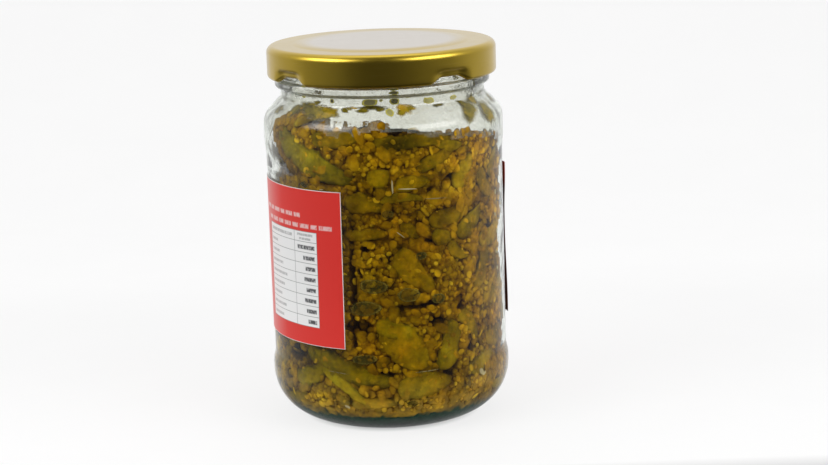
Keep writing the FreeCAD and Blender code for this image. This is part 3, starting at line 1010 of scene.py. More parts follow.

# patches of painted light and shade through the contents, which also stand for clear dark oil
# and pale mash against the glass: azimuth, height, width, height, how bright
MURK = [
    (6, 84.7, 14, 4.4, 0.50), (-30, 83.5, 13, 6.7, 1.45), (45, 78.2, 13, 15.0, 1.45),
    (21, 78.1, 12, 6.5, 1.30), (-16, 65.4, 4, 15.0, 0.50), (-7, 61.7, 8, 9.0, 0.78),
    (17, 62.7, 14, 12.5, 0.70), (3, 38.9, 11, 8.5, 0.60), (25, 32.1, 8, 9.0, 0.64),
    (49, 58.3, 9, 10.5, 1.30), (41, 41.1, 11, 15.0, 1.20), (-10, 30.1, 6, 6.7, 0.62),
    (-23, 19.8, 22, 6.7, 0.64), (34, 18.0, 8, 5.4, 0.50), (-2, 9.6, 44, 4.2, 1.62),
    (45, 10.9, 12, 7.3, 1.40), (48, 21.8, 9, 7.3, 0.78), (-50, 21.7, 13, 8.0, 0.72),
    (-44, 84.0, 10, 8.0, 1.30), (-25, 72.3, 6, 5.4, 0.78), (-44, 10.2, 16, 5.0, 1.25),
    (58, 80.5, 12, 8.0, 1.35), (60, 64.0, 9, 14.0, 1.22), (73, 52.0, 9, 70.0, 1.40), (-6, 80.0, 34, 13, 1.10), (30, 74.0, 22, 10, 1.08),
]


def murk(az, z):
    """Painted light and shade: how bright a place in the contents is made."""
    f = np.ones(np.shape(az))
    for (ma, mz, mw, mh, k) in MURK:
        da = ((az - ma + 180) % 360 - 180) * math.pi / 180 * RW
        e = (da / (mw / 2)) ** 2 + ((z - mz) / (mh / 2)) ** 2
        f = f * (1 + (k - 1) * np.exp(-0.9 * e ** 1.3))
    return f


# painted light and shade: the patch gains go onto each piece as a vertex attribute, faded out towards the jar's middle
def add_murk(ob):
    v = np.empty(len(ob.data.vertices) * 3)
    ob.data.vertices.foreach_get("co", v)
    v = v.reshape(-1, 3) * 1000.0
    az = np.degrees(np.arctan2(v[:, 0], -v[:, 1]))
    w = smoothstep(20.0, 26.0, np.hypot(v[:, 0], v[:, 1]))
    add_attr(ob, "murk", 1 + (murk(az, v[:, 2]) - 1) * w)


# where the mustard grain lies thickest: azimuth, height, width, height
GRAINY = [
    (50, 80, 16, 12),
    (-6, 49.2, 14, 14), (31.4, 46.2, 13, 17), (-10.7, 37.6, 9.5, 7.7), (50.3, 30.6, 8, 30),
    (-9, 27.0, 8, 7), (22, 33.0, 9, 8), (-8, 62.5, 6, 5), (60, 48.0, 7, 12), (35, 78.0, 10, 5),
    (-36.8, 9.4, 16, 5), (12.3, 9.8, 12, 5), (39.9, 16.7, 12, 12), (8, 63.1, 14, 6),
    (-6.5, 80.9, 16, 9), (-30, 84, 18, 8), (20, 65.5, 10, 5), (3, 20, 9, 6),
]

rng = np.random.default_rng(53)


def visible_wall(az, z, m=1.5):
    """Wall not hidden behind the label."""
    a = (np.asarray(az) - LABEL_AZ0) % 360          # 0..114 is bare glass
    pad = np.degrees(m / RW)
    bare = (a > -pad) & (a < (LABEL_AZ1 + 360 - LABEL_AZ0) % 360 + pad) | (a > 360 - pad)
    return bare | (z < LABEL_Z0 + 1.5 + m) | (z > LABEL_Z0 + LABEL_H - m)


# more pieces, unseen in the picture, round the rest of the bare glass
def fill_out_chilies():
    placed = [(c[0], c[1], max(c[2] * 0.42, 3)) for c in CHILIES]
    extra = []
    tries = 0
    while tries < 6000 and len(extra) < 66:
        tries += 1
        az = rng.uniform(-180, 180)
        if -55 < az < 62:
            continue
        z = rng.uniform(9, 90)
        if not visible_wall(az, z, 6.0):
            continue
        if in_gap(az, z) > -0.6:
            continue
        ln = rng.uniform(9, 21)
        wd = rng.uniform(4.2, 8.2)
        tilt = rng.uniform(-75, 75)
        if z > 82 or z < 12 or (20 < z < 26) or (71 < z < 78 and not -22 < az < 92):
            tilt *= 0.25
        if z + wd / 2 + abs(math.sin(math.radians(tilt))) * ln * 0.4 > float(fill_edge(np.array([az]))[0]) - 0.5:
            continue
        near = False
        for (pa, pz, pr) in placed:
            da = ((az - pa + 180) % 360 - 180) * math.pi / 180 * RW
            if math.hypot(da, z - pz) < (pr + ln * 0.36) * 0.9:
                near = True
                break
        if near:
            continue
        placed.append((az, z, ln * 0.42))
        extra.append((az, z, ln, wd, tilt, rng.uniform(0.3, 0.7)))
    return extra


ALL_CHILIES = CHILIES + fill_out_chilies()


def chili_field(az, z):
    """How far inside a chili outline a wall point is (1 at its middle, 0 at
    its edge, below 0 outside)."""
    best = np.full(np.shape(az), -9.0)
    for (ca, cz, ln, wd, tilt, tone) in ALL_CHILIES:
        da = ((az - ca + 180) % 360 - 180) * math.pi / 180 * RW
        dz = z - cz
        t = math.radians(tilt)
        a = da * math.cos(t) + dz * math.sin(t)
        b = -da * math.sin(t) + dz * math.cos(t)
        e = 1 - (np.abs(a) / (ln / 2)) ** 2.4 - (np.abs(b) / (wd / 2)) ** 2.2
        best = np.maximum(best, e)
    return best


def grainy(az, z):
    """How much whole grain there is among the mash, 0 to 1."""
    u = np.radians(az) * RW
    w = 0.10 + 0.55 * fbm(np.stack([u / 9.0, z / 9.0, 0 * u + 4], -1), 2, 23)
    w = np.clip(w, 0.0, 1)
    for (ga, gz, gw, gh) in GRAINY:
        da = ((az - ga + 180) % 360 - 180) * math.pi / 180 * RW
        e = (da / (gw / 2)) ** 2 + ((z - gz) / (gh / 2)) ** 2
        w = np.maximum(w, 1 - smoothstep(0.7, 1.5, e))
    return w


def worley(p, cell, seed, jitter=0.9):
    """Distance to the nearest of a jittered grid of points, and its id."""
    q = np.asarray(p) / cell
    base = np.floor(q).astype(np.int64)
    best = np.full(q.shape[:-1], 9.0)
    ident = np.zeros(q.shape[:-1])
    for dx in (-1, 0, 1):
        for dy in (-1, 0, 1):
            c = base + np.array([dx, dy])
            h1 = (c[..., 0] * 374761393 + c[..., 1] * 668265263 + seed * 1274126177) & 0xFFFFFFFF
            h1 = ((h1 ^ (h1 >> 13)) * 1274126177) & 0xFFFFFFFF
            h2 = ((h1 ^ (h1 >> 16)) * 2246822519) & 0xFFFFFFFF
            h3 = ((h2 ^ (h2 >> 15)) * 3266489917) & 0xFFFFFFFF
            fx = (h1 & 0xFFFF) / 65535.0
            fy = (h2 & 0xFFFF) / 65535.0
            px = c[..., 0] + 0.5 + (fx - 0.5) * jitter
            py = c[..., 1] + 0.5 + (fy - 0.5) * jitter
            dd = np.hypot(q[..., 0] - px, q[..., 1] - py)
            m = dd < best
            best = np.where(m, dd, best)
            ident = np.where(m, (h3 & 0xFFFF) / 65535.0, ident)
    return best, ident


def core_depth(az, z, s):
    """Depth of the paste below the glass, mm."""
    u = np.radians(az) * RW
    p2 = np.stack([u, s], -1)
    p3 = np.stack([u / 4.2, s / 4.2, 0 * u], -1)
    big = fbm(p3, 3, 61)
    mid = fbm(p3 * 2.6, 3, 67)
    d = 0.10 + 1.5 * np.clip(np.abs(big) - 0.06, 0, 1) + 0.7 * np.clip(mid, 0, 1)
    gd, gid = worley(p2, 1.9, 7)
    dome = np.clip(1 - (gd / 0.62) ** 2, 0, 1) ** 0.5
    d = d + 0.55 * (1 - dome) * grainy(az, z)
    for (va, vz, vw, vh, vd) in VOIDS:
        da = ((az - va + 180) % 360 - 180) * math.pi / 180 * RW
        e = (da / (vw / 2)) ** 2 + ((z - vz) / (vh / 2)) ** 2
        wob = 0.35 * fbm(np.stack([u / 1.6, s / 1.6, 0 * u + 3], -1), 2, 71)
        d = d + vd * (1 - smoothstep(0.35, 1.35, e + wob))
    cf = chili_field(az, z)
    d = d + 0.62 * smoothstep(-0.05, 0.30, cf)
    rim = 0.5 + 0.5 * fbm(p3 * 1.3, 2, 88)
    d = d + 1.1 * rim * np.exp(-((cf + 0.08) / 0.14) ** 2)    # crevice round each piece
    g = in_gap(az, z)
    d = d + 6.0 * smoothstep(0.0, 0.7, g + 0.10 * big)
    d = np.maximum(d, 0.45 * smoothstep(-0.02, 0.12, dry_wall(az, z)))
    return np.clip(d, -0.02, 8.5)


def build_core():
    n = 384
    az = np.arange(n) * 360.0 / n - 180
    fe = fill_edge(az)
    s_edge = s_of_z(fe)
    f1 = np.linspace(0, 20.0, 8)[:-1]
    n2 = 176
    rows = []
    for f in f1:
        rows.append(np.full(n, f))
    for k in range(n2):
        rows.append(20.0 + (s_edge - 20.0) * k / (n2 - 1))
    S = np.array(rows)
    A = np.broadcast_to(az, S.shape)
    Z = np.interp(S, IN_S, inside[:, 1])
    D = core_depth(A, Z, S)
    # the unseen middle of the base is simply flat on the glass
    D = D * smoothstep(6, 20, S)
    # round over towards the top
    k = smoothstep(0, 1, np.clip((S - (s_edge - 1.6)) / 1.6, 0, 1))
    D = D + 0.9 * k ** 2
    P = wall_point(A, S, D)
    depth = D.copy()
    # the open top
    last = P[-1]
    r0 = np.hypot(last[:, 0], last[:, 1])
    n3 = 34
    top, td = [], []
    for k in range(1, n3):
        f = 1 - k / n3
        r = r0 * f
        p = cyl(r, az, 0 * az)
        h = fill_height(p[:, 0], p[:, 1])
        h = h + 0.9 * fbm(p / 3.2, 3, 91)
        gd, gi = worley(p[:, :2], 1.9, 17)
        h = h + 0.5 * np.sqrt(np.clip(1 - (gd / 0.62) ** 2, 0, 1)) - 0.25
        blend = smoothstep(0, 5.0, r0 - r)
        p[:, 2] = last[:, 2] * (1 - blend) + h * blend
        top.append(p)
        td.append(0.6 + 0.5 * fbm(p / 2.0, 2, 19))
    P = np.vstack([P[1:].reshape(-1, 3), np.array(top).reshape(-1, 3)])
    dep = np.concatenate([depth[1:].ravel(), np.array(td).ravel()])
    m = len(S) - 1 + n3 - 1
    i = np.arange(m - 1)[:, None]
    j = np.arange(n)[None, :]
    j1 = (j + 1) % n
    quads = np.stack([i * n + j, i * n + j1, (i + 1) * n + j1, (i + 1) * n + j], -1).reshape(-1, 4)
    faces = [tuple(f) for f in quads]
    verts = list(map(tuple, P))
    a, b = len(verts), len(verts) + 1
    verts.append((0, 0, inside[0, 1] - 0.12))
    verts.append((0, 0, float(fill_height(np.array(0.0), np.array(0.0)))))
    faces += [(a, (k + 1) % n, k) for k in range(n)]
    o = (m - 1) * n
    faces += [(b, o + k, o + (k + 1) % n) for k in range(n)]
    ob = mesh_object("pickle_paste", verts, faces)
    add_attr(ob, "depth", np.concatenate([dep, [0, 0.5]]))
    va = np.array(verts)
    vr = np.hypot(va[:, 0], va[:, 1])
    wob = 0.5 * fbm(va / 3.0, 2, 45)
    add_attr(ob, "under", (1 - smoothstep(26.6, 28.0, vr + wob)) * (va[:, 2] < 9.5))
    return ob


# --- chili pieces ---
def chili_mesh(az, z, ln, wd, tilt, tone, seed):
    g = np.random.default_rng(seed)
    nl, nc = 28, 18
    t = np.linspace(-1, 1, nl)
    th = np.arange(nc) * 2 * math.pi / nc
    T, H = np.meshgrid(t, th, indexing="ij")
    blunt0, blunt1 = g.uniform(1.9, 3.6), g.uniform(1.6, 2.6)
    prof = np.where(T < 0, (1 - np.abs(T) ** blunt0), (1 - np.abs(T) ** blunt1))
    prof = np.sqrt(np.clip(prof, 0, 1)) * (1 - 0.22 * (T + 1) * g.uniform(0.2, 1.0))
    thick = wd * g.uniform(0.40, 0.55)
    phase = g.uniform(0, 50)
    nz = fbm(np.stack([T * ln / 7.0 + phase, np.cos(H) * wd / 7.0, np.sin(H) * wd / 7.0], -1), 3, seed)
    ridge = np.cos(2 * H + g.uniform(0, 3)) * 0.05
    nz2 = fbm(np.stack([T * ln / 2.6 + phase, np.cos(H) * wd / 2.6, np.sin(H) * wd / 2.6], -1), 2, seed + 3)
    rad = 1 + 0.34 * nz + 0.16 * nz2 + ridge
    a = T * ln / 2
    bend = g.uniform(-0.10, 0.10) * ln * (T ** 2 - 0.33)
    b = np.cos(H) * wd / 2 * prof * rad + bend
    dd = -np.sin(H) * thick / 2 * prof * rad
    centre = thick * g.uniform(0.20, 0.34)
    depth = centre + dd
    # soft skins flatten where they press on the glass
    lim = 0.03 + 0.20 * np.clip(0.3 + fbm(np.stack([a / 3.0, b / 3.0, 0 * a + phase], -1), 3, seed + 9), 0, 1)
    depth = np.where(depth < lim, lim + (depth - lim) * 0.04, depth)
    bury = fbm(np.stack([a / 2.6 + phase, b / 2.6, 0 * a + 7], -1), 3, seed + 17)
    depth = depth + 0.75 * np.clip(bury - 0.05, 0, 1) * (depth < thick * 0.5)
    depth = depth + 0.35 * (dry_wall(az, z) > 0)
    tt = math.radians(tilt)
    U = a * math.cos(tt) - b * math.sin(tt)
    V = a * math.sin(tt) + b * math.cos(tt)
    s0 = s_of_z(z)
    P = wall_point(az + np.degrees(U / RW), np.clip(s0 + V, 4, 128), depth)
    lit = np.clip(np.sin(H), 0, 1) * np.clip(prof * 1.15, 0, 1) ** 0.7
    verts = P.reshape(-1, 3)
    i = np.arange(nl - 1)[:, None]
    j = np.arange(nc)[None, :]
    j1 = (j + 1) % nc
    q = np.stack([i * nc + j, (i + 1) * nc + j, (i + 1) * nc + j1, i * nc + j1], -1).reshape(-1, 4)
    tones = tone + 0.10 * nz
    return (verts, q, tones.ravel(), depth.ravel(), (a / 10).ravel() + phase, (b / 10).ravel(),
            (1 - prof).ravel(), lit.ravel())


def build_chilies():
    vs, qs, tn, dp, al, ac, ed, lt = [], [], [], [], [], [], [], []
    base = 0
    for k, c in enumerate(ALL_CHILIES):
        v, q, t, d, a, b, e, li = chili_mesh(*c, seed=100 + k)
        lt.append(li)
        vs.append(v)
        qs.append(q + base)
        tn.append(t)
        dp.append(d)
        al.append(a)
        ac.append(b)
        ed.append(e)
        base += len(v)
    ob = mesh_object("chili_pieces", np.vstack(vs), np.vstack(qs))
    add_attr(ob, "tone", np.concatenate(tn))
    add_attr(ob, "depth", np.concatenate(dp))
    add_attr(ob, "along", np.concatenate(al))
    add_attr(ob, "across", np.concatenate(ac))
    add_attr(ob, "ends", np.concatenate(ed))
    add_attr(ob, "lit", np.concatenate(lt))
    g = np.random.default_rng(412)
    green = g.uniform(0, 0.6, len(ALL_CHILIES))
    green[[0, 2, 27, 28]] = (1.0, 0.7, 0.9, 0.6)
    green[[1, 3, 4]] = (0.0, 0.9, 0.1)
    add_attr(ob, "green", np.concatenate([np.full(len(t), v) for t, v in zip(tn, green)]))
    return ob


# --- grains, seeds and crumbs ---
def ico(sub=1):
    t = (1 + 5 ** 0.5) / 2
    v = [(-1, t, 0), (1, t, 0), (-1, -t, 0), (1, -t, 0), (0, -1, t), (0, 1, t), (0, -1, -t), (0, 1, -t),
         (t, 0, -1), (t, 0, 1), (-t, 0, -1), (-t, 0, 1)]
    f = [(0, 11, 5), (0, 5, 1), (0, 1, 7), (0, 7, 10), (0, 10, 11), (1, 5, 9), (5, 11, 4), (11, 10, 2),
         (10, 7, 6), (7, 1, 8), (3, 9, 4), (3, 4, 2), (3, 2, 6), (3, 6, 8), (3, 8, 9), (4, 9, 5),
         (2, 4, 11), (6, 2, 10), (8, 6, 7), (9, 8, 1)]
    v = [np.array(p) / np.linalg.norm(p) for p in v]
    for _ in range(sub):
        mid, nf = {}, []

        def m(a, b):
            k = (min(a, b), max(a, b))
            if k not in mid:
                p = v[a] + v[b]
                mid[k] = len(v)
                v.append(p / np.linalg.norm(p))
            return mid[k]
        for a, b, c in f:
            ab, bc, ca = m(a, b), m(b, c), m(c, a)
            nf += [(a, ab, ca), (b, bc, ab), (c, ca, bc), (ab, bc, ca)]
        f = nf
    return np.array(v), np.array(f)


ICO = {1: ico(1), 2: ico(2)}
ICO_V, ICO_F = ICO[1]


def rot_matrices(g, n, flat=None):
    """Random rotations; with flat, the third axis stays near the wall normal."""
    if flat is None:
        q = g.normal(size=(n, 4))
        q /= np.linalg.norm(q, axis=1)[:, None]
        w, x, y, z = q.T
        R = np.stack([1 - 2 * (y * y + z * z), 2 * (x * y - z * w), 2 * (x * z + y * w),
                      2 * (x * y + z * w), 1 - 2 * (x * x + z * z), 2 * (y * z - x * w),
                      2 * (x * z - y * w), 2 * (y * z + x * w), 1 - 2 * (x * x + y * y)], -1)
        return R.reshape(n, 3, 3)
    a = g.uniform(0, 2 * math.pi, n)
    R = np.zeros((n, 3, 3))
    R[:, 0, 0], R[:, 0, 1], R[:, 1, 0], R[:, 1, 1], R[:, 2, 2] = np.cos(a), -np.sin(a), np.sin(a), np.cos(a), 1
    tx, ty = g.normal(0, flat, n), g.normal(0, flat, n)
    Rx = np.zeros((n, 3, 3))
    Rx[:, 0, 0], Rx[:, 1, 1], Rx[:, 1, 2], Rx[:, 2, 1], Rx[:, 2, 2] = 1, np.cos(tx), -np.sin(tx), np.sin(tx), np.cos(tx)
    Ry = np.zeros((n, 3, 3))
    Ry[:, 1, 1], Ry[:, 0, 0], Ry[:, 0, 2], Ry[:, 2, 0], Ry[:, 2, 2] = 1, np.cos(ty), np.sin(ty), -np.sin(ty), np.cos(ty)
    return np.einsum("nij,njk,nkl->nil", Rx, Ry, R)


def blobs(name, az, s, depth, size, seed, flat=None, lumpy=0.10, tone=None, ico_level=1):
    """One mesh of many small rounded bits against the wall.  size: n x 3."""
    g = np.random.default_rng(seed)
    IV, IF = ICO[ico_level]
    n = len(az)
    R = rot_matrices(g, n, flat)
    V = np.repeat(IV[None], n, 0)
    ph = g.uniform(0, 40, (n, 1, 3))
    V = V * (1 + lumpy * 1.6 * fbm(V * 1.3 + ph, 2, seed)[..., None])
    V = V * size[:, None, :] / 2
    V = np.einsum("nij,nvj->nvi", R, V)
    lit = np.clip(-V[..., 2] / np.abs(V[..., 2]).max(1)[:, None], 0, 1)
    A = az[:, None] + np.degrees(V[..., 0] / RW)
    S = s[:, None] + V[..., 1]
    D = depth[:, None] + V[..., 2]
    lim = 0.04 + 0.05 * (ph[:, :, 0] / 40)
    D = np.where(D < lim, lim + (D - lim) * 0.08, D)
    D = D + 0.40 * (dry_wall(az, np.interp(s, IN_S, inside[:, 1])) > 0)[:, None]
    P = wall_point(A, np.clip(S, 3, IN_S[-1]), D).reshape(-1, 3)
    F = (IF[None] + (np.arange(n) * len(IV))[:, None, None]).reshape(-1, 3)
    ob = mesh_object(name, P, F[:, ::-1])
    if tone is None:
        tone = g.uniform(0, 1, n)
    add_attr(ob, "tone", np.repeat(tone, len(IV)))
    add_attr(ob, "depth", D.ravel())
    add_attr(ob, "lit", lit.ravel())
    return ob


def scatter(count, min_d, seed, weight, z0=7.6, z1=96.0, extra=1.0):
    """Points on the bare wall, kept min_d apart, thinned by weight(az, z)."""
    g = np.random.default_rng(seed)
    cell = min_d
    grid = {}
    out = []
    n_try = int(count * 22 * extra)
    az = g.uniform(-180, 180, n_try)
    s_lo, s_hi = float(s_of_z(z0)), float(s_of_z(z1))
    s = g.uniform(s_lo, s_hi, n_try)
    z = np.interp(s, IN_S, inside[:, 1])
    ok = visible_wall(az, z, 2.0) & (z < fill_edge(az) - 0.3) & (in_gap(az, z) < -0.15) & (g.uniform(0, 1, n_try) < weight(az, z))
    for a, ss, zz in zip(az[ok], s[ok], z[ok]):
        u = math.radians(a) * RW
        key = (int(u // cell), int(ss // cell))
        clash = False
        for dx in (-1, 0, 1):
            for dy in (-1, 0, 1):
                for (pu, ps) in grid.get((key[0] + dx, key[1] + dy), ()):
                    if (pu - u) ** 2 + (ps - ss) ** 2 < min_d * min_d:
                        clash = True
        if clash:
            continue
        grid.setdefault(key, []).append((u, ss))
        out.append((a, ss, zz))
        if len(out) >= count:
            break
    o = np.array(out)
    return o[:, 0], o[:, 1], o[:, 2]


def in_void(az, z, k=1.0):
    hit = np.zeros(np.shape(az), bool)
    for (va, vz, vw, vh, vd) in VOIDS:
        da = ((az - va + 180) % 360 - 180) * math.pi / 180 * RW
        hit |= (da / (vw / 2)) ** 2 + ((z - vz) / (vh / 2)) ** 2 < k
    return hit


def grain_weight(az, z):
    cf = chili_field(az, z)
    gr = grainy(az, z)
    w = 0.012 + 0.99 * gr ** 1.8
    w = w * np.where(cf > 0.25, 0.12, 1.0)
    return w * np.where(in_void(az, z), 0.03, 1.0)


def mash_weight(az, z):
    cf = chili_field(az, z)
    w = np.where(cf > 0.30, 0.06, 0.9) * (1 - 0.75 * grainy(az, z))
    return w * np.where(in_void(az, z, 1.4), 0.0, 1.0)


def base_depth(az, z, s):
    return core_depth(az, z, s)


def build_bits():
    objs = []
    # mustard grains, whole and half
    az, s, z = scatter(2150, 1.50, 3, grain_weight)
    g = np.random.default_rng(31)
    n = len(az)
    dia = g.uniform(1.25, 2.15, n)
    size = np.stack([dia, dia * g.uniform(0.84, 1.0, n), dia * g.uniform(0.7, 0.95, n)], -1)
    d = np.maximum(base_depth(az, z, s) * 0.50, 0.10) + dia * g.uniform(0.18, 0.45, n)
    objs.append((blobs("mustard_grains", az, s, d, size, 32, lumpy=0.035), "grain"))
    # crumbs of split husk and spice
    az, s, z = scatter(820, 1.3, 5, lambda a, zz: 0.03 + 0.6 * grain_weight(a, zz))
    n = len(az)
    dia = g.uniform(0.7, 1.5, n)
    size = np.stack([dia * g.uniform(0.9, 1.5, n), dia * g.uniform(0.6, 1.0, n), dia * g.uniform(0.4, 0.8, n)], -1)
    d = np.maximum(base_depth(az, z, s) * 0.60, 0.05) + dia * 0.10
    objs.append((blobs("spice_crumbs", az, s, d, size, 33, lumpy=0.14), "crumb"))
    # torn bits of chili flesh and skin that make up the mash
    az, s, z = scatter(300, 3.8, 15, mash_weight)
    n = len(az)
    ln = g.uniform(3.0, 6.4, n)
    size = np.stack([ln, ln * g.uniform(0.45, 0.8, n), g.uniform(1.2, 2.2, n)], -1)
    d = np.maximum(base_depth(az, z, s) * 0.45, 0.05) + size[:, 2] * g.uniform(0.24, 0.55, n)
    objs.append((blobs("mash_large", az, s, d, size, 35, flat=0.22, lumpy=0.26, ico_level=2), "mash"))
    az, s, z = scatter(1300, 1.9, 16, lambda a, zz: 0.10 + mash_weight(a, zz))
    n = len(az)
    ln = g.uniform(1.9, 3.9, n)
    size = np.stack([ln, ln * g.uniform(0.5, 0.9, n), g.uniform(0.8, 1.5, n)], -1)
    d = np.maximum(base_depth(az, z, s) * 0.45, 0.05) + size[:, 2] * g.uniform(0.2, 0.6, n)
    objs.append((blobs("mash_small", az, s, d, size, 36, flat=0.3, lumpy=0.22), "mash"))
    # flat chili seeds
    az, s, z = scatter(240, 3.4, 9, lambda a, zz: 0.7 + 0 * a)
    n = len(az)
    dia = g.uniform(2.1, 3.1, n)
    size = np.stack([dia, dia * g.uniform(0.72, 0.95, n), dia * g.uniform(0.22, 0.34, n)], -1)
    d = np.maximum(base_depth(az, z, s) * 0.35, 0.02) + 0.25
    objs.append((blobs("chili_seeds", az, s, d, size, 34, flat=0.45, lumpy=0.03), "seed"))
    return objs


def scatter_top():
    """Loose grains lying on the open top."""
    g = np.random.default_rng(77)
    n = 460
    r = 25.5 * np.sqrt(g.uniform(0, 1, n))
    az = g.uniform(-180, 180, n)
    p = cyl(r, az, 0 * az)
    h0 = p[:, 0]
    h = fill_height(p[:, 0], p[:, 1]) + 0.9 * fbm(np.stack([p[:, 0], p[:, 1], 0 * h0], -1) / 3.2, 3, 91)
    dia = g.uniform(1.3, 2.3, n)
    size = np.stack([dia, dia * g.uniform(0.75, 1.0, n), dia * g.uniform(0.55, 0.9, n)], -1)
    R = rot_matrices(g, n)
    V = ICO_V[None] * size[:, None, :] / 2
    V = V * (1 + 0.05 * g.normal(0, 1, (n, len(ICO_V), 1)).clip(-1.6, 1.6))
    V = np.einsum("nij,nvj->nvi", R, V)
    P = V + np.stack([p[:, 0], p[:, 1], h + dia * 0.22], -1)[:, None, :]
    F = (ICO_F[None] + (np.arange(n) * len(ICO_V))[:, None, None]).reshape(-1, 3)
    ob = mesh_object("top_grains", P.reshape(-1, 3), F)
    add_attr(ob, "tone", np.repeat(g.uniform(0, 1, n), len(ICO_V)))
    add_attr(ob, "depth", np.full(n * len(ICO_V), 0.3))
    add_attr(ob, "lit", np.full(n * len(ICO_V), 0.9))
    return ob


# --- contents materials ---
def depth_shade(M, col, k=0.55):
    """Darker and browner the further below the glass."""
    d = M.attr("depth")
    e = M.math("POWER", 2.718, M.math("MULTIPLY", d, -k))
    dark = M.mix(1.0, col, DEEP, blend="MULTIPLY")
    return M.mix(e, dark, col)


DEEP = (0.16, 0.11, 0.05)
GAIN = (1.36, 1.10, 0.20)


def tint(c):
    return tuple(min(1.0, v * g) for v, g in zip(c, GAIN))


def drift(M, co, col):
    """Slow change from warm masala brown to chili green, greener at the left."""
    n1 = M.noise(co, 85.0, 2.0, 0.5)
    n2 = M.noise(co, 300.0, 3.0, 0.6)
    sp = M.node("ShaderNodeSeparateXYZ")
    M.put(sp.inputs[0], co)
    left = M.math("MULTIPLY_ADD", sp.outputs[0], -1.0 / 0.022, -0.35, clamp=True)
    f = M.math("ADD", M.math("MULTIPLY_ADD", n1, 1.3, -0.65), M.math("MULTIPLY_ADD", n2, 1.3, -0.65))
    f = M.math("ADD", M.math("ADD", f, 0.45), M.math("MULTIPLY", left, 0.40), clamp=True)
    k = M.mix(f, (1.06, 0.93, 0.80), (0.93, 1.06, 1.15))
    # greyer towards the bottom, where the fine spice has settled
    sunk = M.math("MULTIPLY_ADD", sp.outputs[2], -1.0 / 0.012, 19.0 / 12.0, clamp=True)
    col = M.mix(M.math("MULTIPLY", sunk, 0.30), col, (0.20, 0.165, 0.060))
    return M.mix(1.0, col, k, blend="MULTIPLY")


def field(M, co):
    """Colour that drifts through paste and pieces alike, as oil and ground
    spice soak into everything."""
    n1 = M.noise(co, 140.0, 3.0, 0.6)
    n2 = M.noise(co, 430.0, 3.0, 0.62)
    f = M.math("ADD", M.math("MULTIPLY_ADD", n1, 0.86, -0.14), M.math("MULTIPLY", n2, 0.42))
    sp = M.node("ShaderNodeSeparateXYZ")
    M.put(sp.inputs[0], co)
    low = M.math("MULTIPLY_ADD", sp.outputs[2], -1.0 / 0.030, 1.35, clamp=True)
    f = M.math("SUBTRACT", f, M.math("MULTIPLY", low, 0.025))
    return f, M.ramp(f, [(0.34, tint((0.055, 0.036, 0.002))), (0.44, tint((0.145, 0.092, 0.003))),
                         (0.53, tint((0.235, 0.150, 0.004))), (0.62, tint((0.34, 0.225, 0.008))),
                         (0.72, tint((0.45, 0.34, 0.055)))])


def rim_shade(M, col, lo=0.22, mid=0.70):
    """Each bit is brightest where it meets the glass and sinks into dark oil
    round its edge."""
    k = M.ramp(M.attr("lit"), [(0.0, (lo,) * 3), (0.30, (mid,) * 3), (0.75, (1.0,) * 3), (1.0, (1.0,) * 3)])
    return M.mix(k, M.mix(1.0, col, DEEP, blend="MULTIPLY"), col)


def make_paste():
    M = Mat("pickle_masala")
    co = M.coord()
    v = M.node("ShaderNodeTexVoronoi")
    M.put(v.inputs["Vector"], co)
    v.inputs["Scale"].default_value = 620.0
    vr = M.node("ShaderNodeSeparateColor")
    M.put(vr.inputs[0], v.outputs["Color"])
    cells = M.ramp(vr.outputs[0], [(0.0, tint((0.055, 0.026, 0.0015))), (0.3, tint((0.16, 0.085, 0.003))),
                                   (0.6, tint((0.25, 0.145, 0.004))), (0.85, tint((0.32, 0.195, 0.008))),
                                   (1.0, tint((0.42, 0.27, 0.02)))])
    f, wash = field(M, co)
    col = M.mix(0.72, cells, wash)
    fine = M.noise(co, 1500.0, 3.0, 0.6)
    col = M.mix(M.math("MULTIPLY", M.math("SUBTRACT", 0.5, fine), 0.9, clamp=True), col, (0.03, 0.014, 0.001))
    col = depth_shade(M, col, 0.95)
    col = drift(M, co, col)
    # painted light and shade: brightened and darkened patch by patch
    col = M.mix(1.0, col, M.attr("murk"), blend="MULTIPLY")
    # the underside sits on thick green glass and gets no light
    col = M.mix(M.attr("under"), col, (0.012, 0.040, 0.024))
    h = M.math("ADD", M.math("MULTIPLY", v.outputs["Distance"], -0.5), M.math("MULTIPLY", fine, 0.35))
    p = M.principled(Base_Color=col, Roughness=0.42, Specular_IOR_Level=0.0,
                     Normal=M.bump(h, 0.5, 0.0005))
    return M.surface(p.outputs[0])


